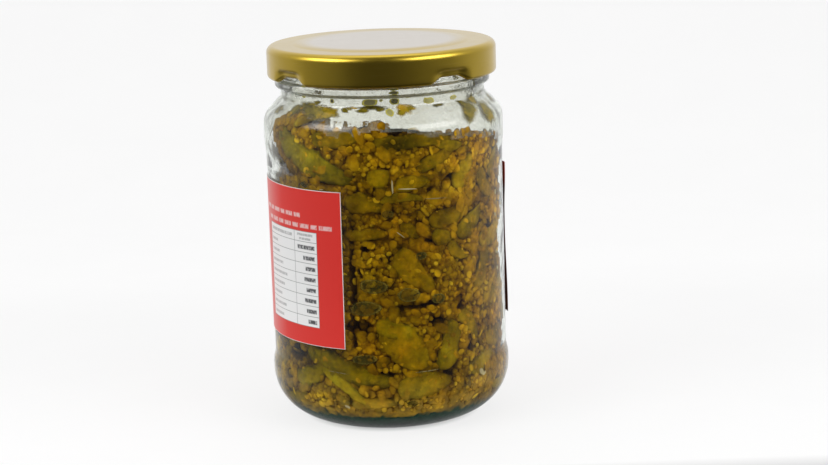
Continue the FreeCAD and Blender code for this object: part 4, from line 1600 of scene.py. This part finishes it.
def make_chili():
    M = Mat("chili_skin")
    co = M.coord()
    tone = M.attr("tone")
    al, ac = M.attr("along"), M.attr("across")
    comb = M.node("ShaderNodeCombineXYZ")
    M.put(comb.inputs[0], M.math("MULTIPLY", al, 1.3))
    M.put(comb.inputs[1], M.math("MULTIPLY", ac, 6.0))
    M.put(comb.inputs[2], tone)
    streak = M.noise(comb.outputs[0], 2.0, 4.0, 0.62)
    blot = M.noise(co, 190.0, 4.0, 0.62)
    lit = M.attr("lit")
    f = M.math("ADD", M.math("MULTIPLY_ADD", tone, 1.0, -0.13), M.math("ADD", M.math("MULTIPLY_ADD", streak, 0.26, -0.13),
                                   M.math("MULTIPLY_ADD", blot, 0.95, -0.475)))
    f = M.math("ADD", f, M.math("MULTIPLY_ADD", lit, 0.20, -0.12))
    col = M.ramp(f, [(0.0, tint((0.030, 0.024, 0.002))), (0.25, tint((0.085, 0.068, 0.004))),
                     (0.45, tint((0.165, 0.122, 0.004))), (0.62, tint((0.27, 0.178, 0.003))),
                     (0.80, tint((0.40, 0.29, 0.010))), (1.0, tint((0.60, 0.50, 0.030)))])
    ff, wash = field(M, co)
    col = M.mix(0.42, col, wash)
    spots = M.noise(co, 620.0, 3.0, 0.6)
    spots = M.ramp(spots, [(0.56, (0, 0, 0)), (0.68, (1, 1, 1))])
    col = M.mix(M.math("MULTIPLY", spots, 0.30), col, tint((0.40, 0.25, 0.015)))
    pits = M.ramp(M.noise(co, 480.0, 2.0, 0.5), [(0.28, (1, 1, 1)), (0.40, (0, 0, 0))])
    col = M.mix(M.math("MULTIPLY", pits, 0.45), col, (0.05, 0.03, 0.002))
    col = M.mix(M.attr("green"), col, M.mix(1.0, col, (0.86, 1.10, 1.2), blend="MULTIPLY"))
    col = drift(M, co, col)
    col = rim_shade(M, col, 0.20, 0.62)
    col = depth_shade(M, col, 1.0)
    # painted light and shade: brightened and darkened patch by patch
    col = M.mix(1.0, col, M.attr("murk"), blend="MULTIPLY")
    h = M.math("ADD", M.math("MULTIPLY", streak, 0.5), M.math("MULTIPLY", spots, 0.15))
    p = M.principled(Base_Color=col, Roughness=0.36, Specular_IOR_Level=0.0,
                     Normal=M.bump(h, 0.45, 0.0006))
    return M.surface(p.outputs[0])


def make_bits(name, stops, k=0.95, rough=0.38, share=0.45):
    M = Mat(name)
    co = M.coord()
    tone = M.attr("tone")
    n = M.noise(co, 800.0, 4.0, 0.65)
    f = M.math("ADD", M.math("MULTIPLY_ADD", tone, 0.74, 0.13), M.math("MULTIPLY_ADD", n, 0.70, -0.35))
    col = M.ramp(f, [(a, tint(c)) for a, c in stops])
    ff, wash = field(M, co)
    col = M.mix(share, col, wash)
    col = drift(M, co, col)
    col = rim_shade(M, col)
    col = depth_shade(M, col, k)
    # painted light and shade: brightened and darkened patch by patch
    col = M.mix(1.0, col, M.attr("murk"), blend="MULTIPLY")
    p = M.principled(Base_Color=col, Roughness=rough, Specular_IOR_Level=0.0,
                     Normal=M.bump(n, 0.3, 0.0003))
    return M.surface(p.outputs[0])


core = build_core()
add_murk(core)
core.data.materials.append(make_paste())
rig.ride(core, "root")
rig.replaces(core, "pickle")
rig.slot(core, "pickle")
chilies = build_chilies()
add_murk(chilies)
chilies.data.materials.append(make_chili())
bit_mats = {
    "grain": make_bits("mustard_grain", [(0.0, (0.09, 0.048, 0.002)), (0.3, (0.21, 0.125, 0.004)),
                                         (0.6, (0.30, 0.205, 0.010)), (0.85, (0.41, 0.31, 0.045)),
                                         (1.0, (0.56, 0.46, 0.13))], 0.85, 0.38, 0.34),
    "crumb": make_bits("spice_crumb", [(0.0, (0.040, 0.018, 0.001)), (0.35, (0.15, 0.075, 0.002)),
                                       (0.7, (0.26, 0.155, 0.006)), (1.0, (0.42, 0.30, 0.06))]),
    "mash": make_bits("chili_mash", [(0.0, (0.050, 0.036, 0.002)), (0.25, (0.12, 0.080, 0.003)),
                                     (0.55, (0.20, 0.125, 0.004)), (0.8, (0.28, 0.165, 0.004)),
                                     (1.0, (0.35, 0.24, 0.020))], 0.9, 0.38, 0.74),
    "seed": make_bits("chili_seed", [(0.0, (0.28, 0.17, 0.008)), (0.5, (0.42, 0.29, 0.02)),
                                     (1.0, (0.58, 0.45, 0.06))]),
}
bits = build_bits()
top = scatter_top()
bits.append((top, "grain"))
for ob, kind in bits:
    add_murk(ob)
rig.ride(chilies, "root")
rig.slot(chilies, "pickle")
for ob, kind in bits:
    ob.data.materials.append(bit_mats[kind])
    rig.ride(ob, "root")
    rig.slot(ob, "pickle")


# ---------------------------------------------------------------------------
# Oil drops, smears and small pockets of air
# ---------------------------------------------------------------------------
def dome_set(name, items, R_fn, seed=1, rough=1.0):
    """Low rounded domes on the inside of the wall.  items: azimuth, height,
    width, height, thickness, tilt, tone."""
    vs, fs, rim, tn = [], [], [], []
    base = 0
    for k, (az, z, w, h, th, tilt, tone) in enumerate(items):
        g = np.random.default_rng(seed * 100 + k)
        nr, nc = 6, 22
        t = np.radians(tilt)
        ph = g.uniform(0, 6.28, 5)
        am = g.uniform(0.02, 0.09, 5) * rough
        an = np.arange(nc) * 2 * np.pi / nc
        wob = 1 + sum(am[q] * np.cos((q + 2) * an + ph[q]) for q in range(5))
        pts, rr = [], []
        # rings: middle of the face in the glass, out to its edge, back over the dome
        seq = [(i / nr, 0) for i in range(nr + 1)] + [(i / nr, 1) for i in range(nr - 1, -1, -1)]
        for f, back in seq:
            f = max(f, 0.002)
            x = np.cos(an) * w / 2 * f * wob
            y = np.sin(an) * h / 2 * f * wob
            d = th * math.sqrt(max(0.0, 1 - f * f)) if back else -0.09 * (1 - f ** 4)
            a = x * np.cos(t) - y * np.sin(t)
            b = x * np.sin(t) + y * np.cos(t)
            if back and rough > 1:
                d = d * (1 + 0.5 * fbm(np.stack([a / 1.2, b / 1.2, 0 * a + ph[0]], -1), 2, k))
            R, Z = R_fn(z + b)
            pts.append(cyl(R - d, az + np.degrees(a / 27.0), Z))
            rr.append(np.full(nc, f))
        P = np.array(pts).reshape(-1, 3)
        i = np.arange(len(seq) - 1)[:, None]
        j = np.arange(nc)[None, :]
        j1 = (j + 1) % nc
        q = np.stack([i * nc + j, i * nc + j1, (i + 1) * nc + j1, (i + 1) * nc + j], -1).reshape(-1, 4)
        vs.append(P)
        fs.append(q + base)
        rim.append(np.array(rr).ravel())
        tn.append(np.full(len(P), tone))
        base += len(P)
    ob = mesh_object(name, np.vstack(vs), np.vstack(fs))
    add_attr(ob, "rim", np.concatenate(rim))
    add_attr(ob, "tone", np.concatenate(tn))
    return ob


def wall_at(z):
    m = inside[:, 0] > 24
    return np.interp(z, inside[m, 1], inside[m, 0]) + 0.05, z


DROPS = [
    (-7.6, 95.9, 4.6, 2.4, 0.9, 3, 0.35), (6.7, 96.1, 2.7, 2.3, 0.8, 0, 0.10), (6.4, 98.5, 2.8, 1.0, 0.5, 0, 0.30),
    (28.0, 95.3, 2.7, 2.3, 0.8, 20, 0.85), (25.6, 95.6, 1.5, 1.9, 0.5, 0, 0.75), (45.0, 95.4, 2.4, 1.6, 0.5, 0, 0.90),
    (-30.5, 96.2, 1.2, 1.5, 0.6, 0, 0.10), (3.6, 92.4, 2.3, 1.8, 0.6, -30, 0.65), (-1.0, 96.5, 0.9, 0.9, 0.4, 0, 0.60),
    (14.5, 97.2, 1.0, 0.8, 0.4, 0, 0.60), (-52.0, 97.0, 1.6, 1.3, 0.5, 0, 0.50), (120.0, 96.0, 3.0, 2.2, 0.8, 0, 0.40),
    (160.0, 97.0, 2.2, 1.8, 0.7, 0, 0.50), (200.0, 95.6, 3.4, 2.0, 0.8, 0, 0.30), (235.0, 96.8, 1.8, 1.5, 0.5, 0, 0.60),
]


def make_drop():
    M = Mat("oil_drop")
    rim = M.attr("rim")
    tone = M.attr("tone")
    n = M.noise(M.coord(), 500.0, 2.0, 0.5)
    centre = M.mix(tone, (0.045, 0.035, 0.003), (0.62, 0.56, 0.22))
    edge = M.mix(n, (0.62, 0.50, 0.03), (0.80, 0.72, 0.10))
    f = M.ramp(rim, [(0.0, (0, 0, 0)), (0.66, (0, 0, 0)), (0.80, (1, 1, 1)), (0.92, (0.9, 0.9, 0.9)), (1.0, (0.2, 0.2, 0.2))])
    col = M.mix(f, centre, edge)
    p = M.principled(Base_Color=col, Roughness=0.12, IOR=1.46, Alpha=0.82, Normal=M.bump(n, 0.05, 0.0002))
    return M.surface(p.outputs[0])


drops = dome_set("oil_drops", DROPS, wall_at, 5, 0.5)
drops.data.materials.append(make_drop())
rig.ride(drops, "root")
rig.slot(drops, "pickle")

SMEARS = [
    (12.0, 93.3, 5.4, 4.4, 1.2, 10, 0.95), (15.5, 93.6, 3.8, 3.2, 1.0, 0, 0.85), (10.0, 92.2, 2.8, 2.4, 0.8, 0, 0.80),
    (-47.0, 93.2, 10.5, 5.2, 1.4, -10, 0.48), (-38.5, 92.6, 8.0, 5.4, 1.2, 10, 0.62), (-31.0, 92.0, 6.5, 4.0, 1.0, 0, 0.64),
    (-56.0, 91.8, 6.0, 4.0, 1.2, 20, 0.35), (-41.0, 95.4, 3.0, 1.6, 0.6, 0, 0.40), (-17.0, 93.9, 3.0, 1.1, 0.5, -15, 0.75),
    (-22.0, 92.8, 3.0, 1.2, 0.5, -20, 0.60), (63.0, 97.6, 1.4, 4.0, 0.6, 8, 0.12), (61.5, 94.4, 2.0, 3.4, 0.6, 0, 0.30),
    (52.0, 90.7, 10.0, 4.8, 1.0, 28, 0.58), (61.0, 92.8, 4.6, 3.6, 0.9, 10, 0.62), (66.0, 89.4, 7.4, 6.0, 1.0, 0, 0.60),
    (-72.0, 90.8, 5.0, 3.0, 0.9, 0, 0.45), (110.0, 93.0, 7.0, 3.4, 1.2, 0, 0.50), (142.0, 92.5, 5.0, 2.6, 1.0, 0, 0.60),
    (176.0, 93.4, 6.5, 3.4, 1.2, 0, 0.55), (205.0, 92.6, 4.0, 2.2, 0.9, 0, 0.45), (228.0, 93.0, 6.0, 3.0, 1.1, 0, 0.55),
    (-6.3, 94.0, 9.6, 2.6, 0.8, -3, 0.16), (-11.5, 93.0, 4.8, 1.7, 0.6, 6, 0.34), (-2.0, 93.2, 3.4, 1.4, 0.5, 0, 0.26),
    (-20.5, 93.6, 4.6, 1.8, 0.7, 8, 0.42), (33.0, 93.2, 5.0, 1.4, 0.5, 6, 0.30), (50.0, 92.6, 4.0, 2.2, 0.7, -30, 0.55),
    (84.0, 91.0, 5.0, 3.4, 1.0, 0, 0.45), (-61.0, 78.0, 2.3, 2.9, 0.9, 10, 0.02),
]


def make_smear():
    M = Mat("masala_smear")
    co = M.coord()
    n = M.noise(co, 520.0, 4.0, 0.62)
    rim = M.attr("rim")
    big = M.noise(co, 240.0, 3.0, 0.6)
    f = M.math("ADD", M.math("MULTIPLY", M.attr("tone"), 0.72), M.math("ADD", M.math("MULTIPLY_ADD", n, 0.9, -0.40),
                                                                      M.math("MULTIPLY_ADD", big, 0.8, -0.36)))
    col = M.ramp(f, [(0.0, (0.030, 0.022, 0.002)), (0.3, (0.11, 0.085, 0.005)), (0.55, (0.25, 0.19, 0.012)),
                     (0.72, (0.42, 0.27, 0.012)), (0.88, (0.55, 0.31, 0.010)), (1.0, (0.70, 0.47, 0.04))])
    edge = M.ramp(rim, [(0.0, (0, 0, 0)), (0.66, (0, 0, 0)), (1.0, (1, 1, 1))])
    col = M.mix(M.math("MULTIPLY", edge, 0.45), col, (0.30, 0.26, 0.06))
    fade = M.math("ADD", M.math("MULTIPLY_ADD", rim, -2.2, 1.95), M.math("MULTIPLY_ADD", n, 1.3, -0.65), clamp=True)
    p = M.principled(Base_Color=col, Roughness=0.4, Specular_IOR_Level=0.08, Alpha=fade,
                     Normal=M.bump(n, 0.4, 0.0005))
    return M.surface(p.outputs[0])


smears = dome_set("masala_smears", SMEARS, wall_at, 8, 1.15)
smears.data.materials.append(make_smear())
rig.ride(smears, "root")
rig.slot(smears, "pickle")


# air trapped against the glass: flat pockets with a painted bright outline, and painted glints: thin bright slits and
# small bright dots
BUBBLES = [
    (-12.0, 38.2, 7.3, 4.4, 0.5, 5, 0.10), (-7.6, 44.6, 6.7, 4.1, 0.5, -8, 0.15), (9.7, 41.8, 5.3, 4.1, 0.5, 0, 0.12),
    (24.8, 39.9, 3.4, 3.0, 0.4, 0, 0.25), (-13.4, 23.3, 6.2, 2.8, 0.5, 4, 0.10), (9.9, 10.0, 2.8, 1.7, 0.4, 0, 0.2),
    (0.6, 65.2, 2.6, 2.4, 0.4, 0, 0.4), (16.4, 52.8, 2.7, 2.2, 0.4, 10, 0.45), (-43.5, 72.9, 2.4, 2.0, 0.4, 0, 0.05),
    (3.2, 72.9, 0.40, 4.0, 0.2, 2, 0.95), (10.7, 72.1, 4.4, 0.42, 0.2, -3, 0.95), (6.5, 59.2, 2.6, 0.30, 0.2, -45, 0.75),
    (24.7, 68.7, 5.6, 0.28, 0.2, -4, 0.66), (-27.8, 18.9, 5.5, 0.26, 0.2, -6, 0.64), (17.9, 19.1, 6.0, 0.26, 0.2, 2, 0.64),
    (69.0, 66.5, 0.8, 1.5, 0.2, 0, 1.0), (68.0, 60.0, 0.8, 1.3, 0.2, 8, 1.0), (70.0, 55.0, 0.9, 1.7, 0.2, -4, 1.0),
    (68.5, 49.0, 0.7, 1.2, 0.2, 0, 0.95), (69.5, 44.0, 0.7, 1.2, 0.2, 0, 0.9), (78.0, 62.0, 0.7, 1.1, 0.2, 0, 0.9),
    (-24.0, 9.2, 1.5, 0.8, 0.3, -25, 0.85), (50.5, 15.5, 1.3, 1.8, 0.3, 30, 0.78), (52.4, 14.8, 1.4, 0.9, 0.3, 30, 0.80),
    (-33.0, 71.8, 1.2, 0.35, 0.2, 10, 0.8), (-38.0, 69.6, 1.0, 0.35, 0.2, -10, 0.8), (14.0, 88.6, 2.2, 0.4, 0.2, 4, 0.9),
]


def bubble_at(z):
    m = inside[:, 0] > 24
    return np.interp(z, inside[m, 1], inside[m, 0]) + 0.13, z


def make_bubble():
    M = Mat("trapped_air_and_painted_glints")
    rim = M.attr("rim")
    tone = M.attr("tone")
    n = M.noise(M.coord(), 420.0, 3.0, 0.55)
    inner = M.mix(n, (0.014, 0.014, 0.004), (0.09, 0.070, 0.008))
    # painted glints: items with a high tone turn pale and more opaque
    bright = M.ramp(tone, [(0.5, (0, 0, 0)), (0.8, (1, 1, 1))])
    inner = M.mix(bright, inner, (0.50, 0.42, 0.22))
    # painted highlight: a thin bright line round the edge of each pocket
    line = M.ramp(rim, [(0.0, (0, 0, 0)), (0.76, (0, 0, 0)), (0.90, (0.9, 0.9, 0.9)), (1.0, (0.2, 0.2, 0.2))])
    col = M.mix(M.math("MULTIPLY", line, M.math("MULTIPLY_ADD", n, 1.6, -0.25, clamp=True)), inner, (0.42, 0.30, 0.04))
    alpha = M.math("MULTIPLY_ADD", bright, 0.30, M.math("MULTIPLY_ADD", n, 0.9, 0.02), clamp=True)
    p = M.principled(Base_Color=col, Roughness=0.2, Specular_IOR_Level=0.0, Alpha=alpha, Normal=M.bump(n, 0.1, 0.0003))
    return M.surface(p.outputs[0])


bubbles = dome_set("air_pockets_and_painted_glints", BUBBLES, bubble_at, 9, 0.45)
bubbles.data.materials.append(make_bubble())
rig.ride(bubbles, "root")
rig.slot(bubbles, "pickle")


def build_pool():
    """Oil standing between the lumps on top."""
    n, m = 120, 22
    az = np.arange(n) * 360.0 / n - 180
    fe = fill_edge(az)
    pts = []
    for k in range(m):
        f = 1 - k / m
        r = wall_at(fe - 0.2)[0] * f
        p = cyl(r, az, 0 * az)
        z = fill_height(p[:, 0], p[:, 1]) - 0.28
        bl = smoothstep(0, 4.0, r[0] * (1 - f) / max(f, 0.01))
        z = (fe - 0.55) * (1 - bl) + z * bl
        p[:, 2] = z
        pts.append(p)
    P = np.array(pts).reshape(-1, 3)
    i = np.arange(m - 1)[:, None]
    j = np.arange(n)[None, :]
    j1 = (j + 1) % n
    q = np.stack([i * n + j, i * n + j1, (i + 1) * n + j1, (i + 1) * n + j], -1).reshape(-1, 4)
    faces = [tuple(f) for f in q]
    verts = list(map(tuple, P)) + [(0, 0, float(fill_height(np.array(0.0), np.array(0.0))) - 0.28)]
    o = (m - 1) * n
    faces += [(len(verts) - 1, o + k, o + (k + 1) % n) for k in range(n)]
    ob = mesh_object("oil_pool", verts, faces)
    M = Mat("standing_oil")
    nn = M.noise(M.coord(), 160.0, 3.0, 0.5)
    col = M.mix(nn, (0.16, 0.10, 0.003), (0.30, 0.20, 0.008))
    p = M.principled(Base_Color=col, Roughness=0.07, IOR=1.47, Normal=M.bump(nn, 0.15, 0.0006))
    ob.data.materials.append(M.surface(p.outputs[0]))
    return ob


pool = build_pool()
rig.ride(pool, "root")
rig.slot(pool, "pickle")

# ---------------------------------------------------------------------------
# Setting: pale sweep, two soft boxes, camera
# ---------------------------------------------------------------------------
def build_sweep():
    ys = [(-0.095, 0.0), (0.22, 0.0)]
    for k in range(1, 13):
        t = math.radians(90 * k / 12)
        ys.append((0.22 + 0.33 * math.sin(t), 0.33 * (1 - math.cos(t))))
    ys.append((0.55, 0.95))
    verts, faces = [], []
    for (y, z) in ys:
        for x in (-0.95, 0.95):
            verts.append((x * 1000, y * 1000, z * 1000))
    for k in range(len(ys) - 1):
        faces.append((2 * k, 2 * k + 1, 2 * k + 3, 2 * k + 2))
    ob = mesh_object("sweep", verts, faces)
    M = Mat("pale_sweep")
    n = M.noise(M.coord(), 40.0, 3.0, 0.5)
    sp = M.node("ShaderNodeSeparateXYZ")
    M.put(sp.inputs[0], M.coord())
    x = M.math("ABSOLUTE", sp.outputs[0])
    y = sp.outputs[1]
    # painted light and shade on the floor: its glow fades towards the sides and falls nearly dark in front of the jar
    out = M.math("SUBTRACT", x, M.math("MULTIPLY_ADD", M.math("ADD", y, 0.5857), 0.204, 0.015))
    sidef = M.math("MULTIPLY", out, 1.0 / 0.16, clamp=True)
    front = M.math("MULTIPLY_ADD", y, -1.0 / 0.033, -0.060 / 0.033, clamp=True)
    k = M.math("SUBTRACT", 1.0, M.math("MULTIPLY", sidef, SIDE_FADE))
    k = M.math("MULTIPLY", k, M.math("SUBTRACT", 1.0, M.math("MULTIPLY", front, 0.85)))
    # painted shadow: the floor's glow drops close round the foot of the jar
    rad = M.math("SQRT", M.math("ADD", M.math("POWER", x, 2.0), M.math("POWER", y, 2.0)))
    under = M.math("MULTIPLY_ADD", rad, 1.0 / 0.008, -0.0190 / 0.008, clamp=True)
    under = M.math("SMOOTH_MIN", under, 1.0, 0.2)
    k = M.math("MULTIPLY", k, M.math("MULTIPLY_ADD", under, 0.95, 0.05))
    col = M.mix(n, (0.21, 0.21, 0.21), (0.23, 0.23, 0.23))
    col = M.mix(k, (0.0, 0.0, 0.0), col)
    rise = M.math("MULTIPLY_ADD", y, 1.0 / 0.40, -0.12 / 0.40, clamp=True)
    k = M.math("MULTIPLY", k, M.math("MULTIPLY_ADD", rise, 0.24, 1.0))
    p = M.principled(Base_Color=col, Roughness=0.9, Specular_IOR_Level=0.0)
    glow = M.mix(k, (0.0, 0.0, 0.0), (1.0, 1.0, 1.0))
    M.put(p.inputs["Emission Color"], glow)
    p.inputs["Emission Strength"].default_value = SWEEP_GLOW
    ob.data.materials.append(M.surface(p.outputs[0]))
    ob.visible_glossy = False
    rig.stage(ob)
    return ob


SWEEP_GLOW = 0.765
SIDE_FADE = 0.62
build_sweep()


def softbox(name, az, el, dist, w, h, power, soft=0.0):
    """A lamp behind a diffuser: brightest in the middle, soft at its edges."""
    li = bpy.data.lights.new(name, "AREA")
    li.shape = "RECTANGLE"
    li.size, li.size_y = w, h
    li.energy = power
    if soft:
        li.use_nodes = True
        t = li.node_tree
        t.nodes.clear()
        geo = t.nodes.new("ShaderNodeNewGeometry")
        sep = t.nodes.new("ShaderNodeSeparateXYZ")
        t.links.new(geo.outputs["Parametric"], sep.inputs[0])
        prod = None
        for k in (0, 1):
            # 1 in the middle of the side, 0 at both ends
            a = t.nodes.new("ShaderNodeMath")
            a.operation = "SUBTRACT"
            t.links.new(sep.outputs[k], a.inputs[0])
            a.inputs[1].default_value = 0.5
            b = t.nodes.new("ShaderNodeMath")
            b.operation = "ABSOLUTE"
            t.links.new(a.outputs[0], b.inputs[0])
            c = t.nodes.new("ShaderNodeMapRange")
            c.interpolation_type = "SMOOTHSTEP"
            c.inputs["From Min"].default_value = 0.5
            c.inputs["From Max"].default_value = 0.5 - soft
            t.links.new(b.outputs[0], c.inputs["Value"])
            if prod is None:
                prod = c.outputs[0]
            else:
                m = t.nodes.new("ShaderNodeMath")
                m.operation = "MULTIPLY"
                t.links.new(prod, m.inputs[0])
                t.links.new(c.outputs[0], m.inputs[1])
                prod = m.outputs[0]
        em = t.nodes.new("ShaderNodeEmission")
        t.links.new(prod, em.inputs["Strength"])
        lo = t.nodes.new("ShaderNodeOutputLight")
        t.links.new(em.outputs[0], lo.inputs[0])
    ob = bpy.data.objects.new(name, li)
    a, e = math.radians(az), math.radians(el)
    d = Vector((math.sin(a) * math.cos(e), -math.cos(a) * math.cos(e), math.sin(e)))
    ob.location = d * dist + Vector((0, 0, 0.055))
    ob.rotation_euler = d.to_track_quat("Z", "Y").to_euler()
    ob.visible_camera = False
    ob.visible_transmission = False
    scene.collection.objects.link(ob)
    return ob


softbox("box_left", -60, 36, 0.75, 0.86, 0.52, 9.2, 0.42)
softbox("box_right", 54, 34, 0.75, 0.95, 0.56, 9.4, 0.42)

fill = softbox("fill_front", 12, 14, 0.9, 0.7, 0.5, 1.85)
fill.visible_glossy = False

world = bpy.data.worlds.new("room")
scene.world = world
world.use_nodes = True
wt = world.node_tree
wt.nodes.clear()
wo = wt.nodes.new("ShaderNodeOutputWorld")
lp = wt.nodes.new("ShaderNodeLightPath")
b1 = wt.nodes.new("ShaderNodeBackground")
b2 = wt.nodes.new("ShaderNodeBackground")
tcw = wt.nodes.new("ShaderNodeTexCoord")
spw = wt.nodes.new("ShaderNodeSeparateXYZ")
wt.links.new(tcw.outputs["Generated"], spw.inputs[0])
neg = wt.nodes.new("ShaderNodeMath")
neg.operation = "MULTIPLY"
wt.links.new(spw.outputs[1], neg.inputs[0])
neg.inputs[1].default_value = -1.0
at2 = wt.nodes.new("ShaderNodeMath")
at2.operation = "ARCTAN2"
wt.links.new(spw.outputs[0], at2.inputs[0])
wt.links.new(neg.outputs[0], at2.inputs[1])
mw = wt.nodes.new("ShaderNodeMath")
mw.operation = "MULTIPLY_ADD"
wt.links.new(at2.outputs[0], mw.inputs[0])
mw.inputs[1].default_value = 0.5 / math.pi
mw.inputs[2].default_value = 0.5
rw = wt.nodes.new("ShaderNodeValToRGB")
rw.color_ramp.interpolation = "EASE"
ROOM = [(-165, 0.95), (-110, 0.60), (-66, 0.24), (-46, 0.16), (-30, 0.07), (-14, 0.055), (4, 0.06),
        (24, 0.07), (44, 0.09), (62, 0.17), (110, 0.58), (165, 0.95)]
while len(rw.color_ramp.elements) < len(ROOM):
    rw.color_ramp.elements.new(0.5)
for el, (a, v) in zip(rw.color_ramp.elements, ROOM):
    el.position = a / 360.0 + 0.5
    el.color = (v, v, v, 1)
wt.links.new(mw.outputs[0], rw.inputs[0])
wt.links.new(rw.outputs[0], b1.inputs[0])
b2.inputs[0].default_value = (0.97, 0.97, 0.97, 1)
# pale ceiling
ceil_ = wt.nodes.new("ShaderNodeMapRange")
ceil_.interpolation_type = "SMOOTHSTEP"
ceil_.inputs["From Min"].default_value = 0.72
ceil_.inputs["From Max"].default_value = 0.95
ceil_.inputs["To Max"].default_value = 0.9
wt.links.new(spw.outputs[2], ceil_.inputs["Value"])
add_ = wt.nodes.new("ShaderNodeMath")
add_.operation = "ADD"
wt.links.new(ceil_.outputs[0], add_.inputs[0])
add_.inputs[1].default_value = 1.0
# steeply downward the room is dark, as it is close under the foot of the jar
pit = wt.nodes.new("ShaderNodeMapRange")
pit.interpolation_type = "SMOOTHSTEP"
pit.inputs["From Min"].default_value = -0.52
pit.inputs["From Max"].default_value = -0.30
pit.inputs["To Min"].default_value = 0.38
pit.inputs["To Max"].default_value = 1.0
wt.links.new(spw.outputs[2], pit.inputs["Value"])
low_ = wt.nodes.new("ShaderNodeMath")
low_.operation = "MULTIPLY"
wt.links.new(add_.outputs[0], low_.inputs[0])
wt.links.new(pit.outputs[0], low_.inputs[1])
wt.links.new(low_.outputs[0], b1.inputs[1])
mx = wt.nodes.new("ShaderNodeMixShader")
wt.links.new(lp.outputs["Is Camera Ray"], mx.inputs[0])
wt.links.new(b1.outputs[0], mx.inputs[1])
wt.links.new(b2.outputs[0], mx.inputs[2])
wt.links.new(mx.outputs[0], wo.inputs[0])

# camera
H_CAM, Z_CAM, PSI, PHI, RHO, F_PX = 585.6773, 180.8071, 0.0135, 0.2155, -0.0309, 2030.7469
Fv = np.array([math.sin(PSI) * math.cos(PHI), math.cos(PSI) * math.cos(PHI), -math.sin(PHI)])
Rv = np.array([math.cos(PSI), -math.sin(PSI), 0.0])
Uv = np.cross(Rv, Fv)
R2 = Rv * math.cos(RHO) + Uv * math.sin(RHO)
U2 = -Rv * math.sin(RHO) + Uv * math.cos(RHO)
cam_data = bpy.data.cameras.new("camera")
cam = bpy.data.objects.new("camera", cam_data)
cam_data.sensor_fit = "HORIZONTAL"
cam_data.sensor_width = 36.0
cam_data.lens = 36.0 * F_PX / 828.0
cam_data.clip_start = 0.01
cam_data.clip_end = 20.0
m = Matrix.Identity(4)
for k in range(3):
    m[k][0], m[k][1], m[k][2] = R2[k], U2[k], -Fv[k]
m[0][3], m[1][3], m[2][3] = 0.0, -H_CAM * MM, Z_CAM * MM
cam.matrix_world = m
scene.collection.objects.link(cam)
scene.camera = cam

scene.view_settings.view_transform = "Standard"
scene.view_settings.look = "None"
scene.cycles.max_bounces = 14
scene.cycles.transmission_bounces = 10
scene.cycles.transparent_max_bounces = 16
scene.cycles.diffuse_bounces = 4
scene.cycles.glossy_bounces = 4
scene.cycles.caustics_reflective = False
scene.cycles.caustics_refractive = False
scene.cycles.use_denoising = True
scene.cycles.sample_clamp_indirect = 6.0

vis_box = [list(map(float, v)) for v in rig.bounds()]
try:
    with open("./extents.json", "w") as fh:
        json.dump({"cad": cad_box, "visual": vis_box}, fh)
except OSError:
    pass
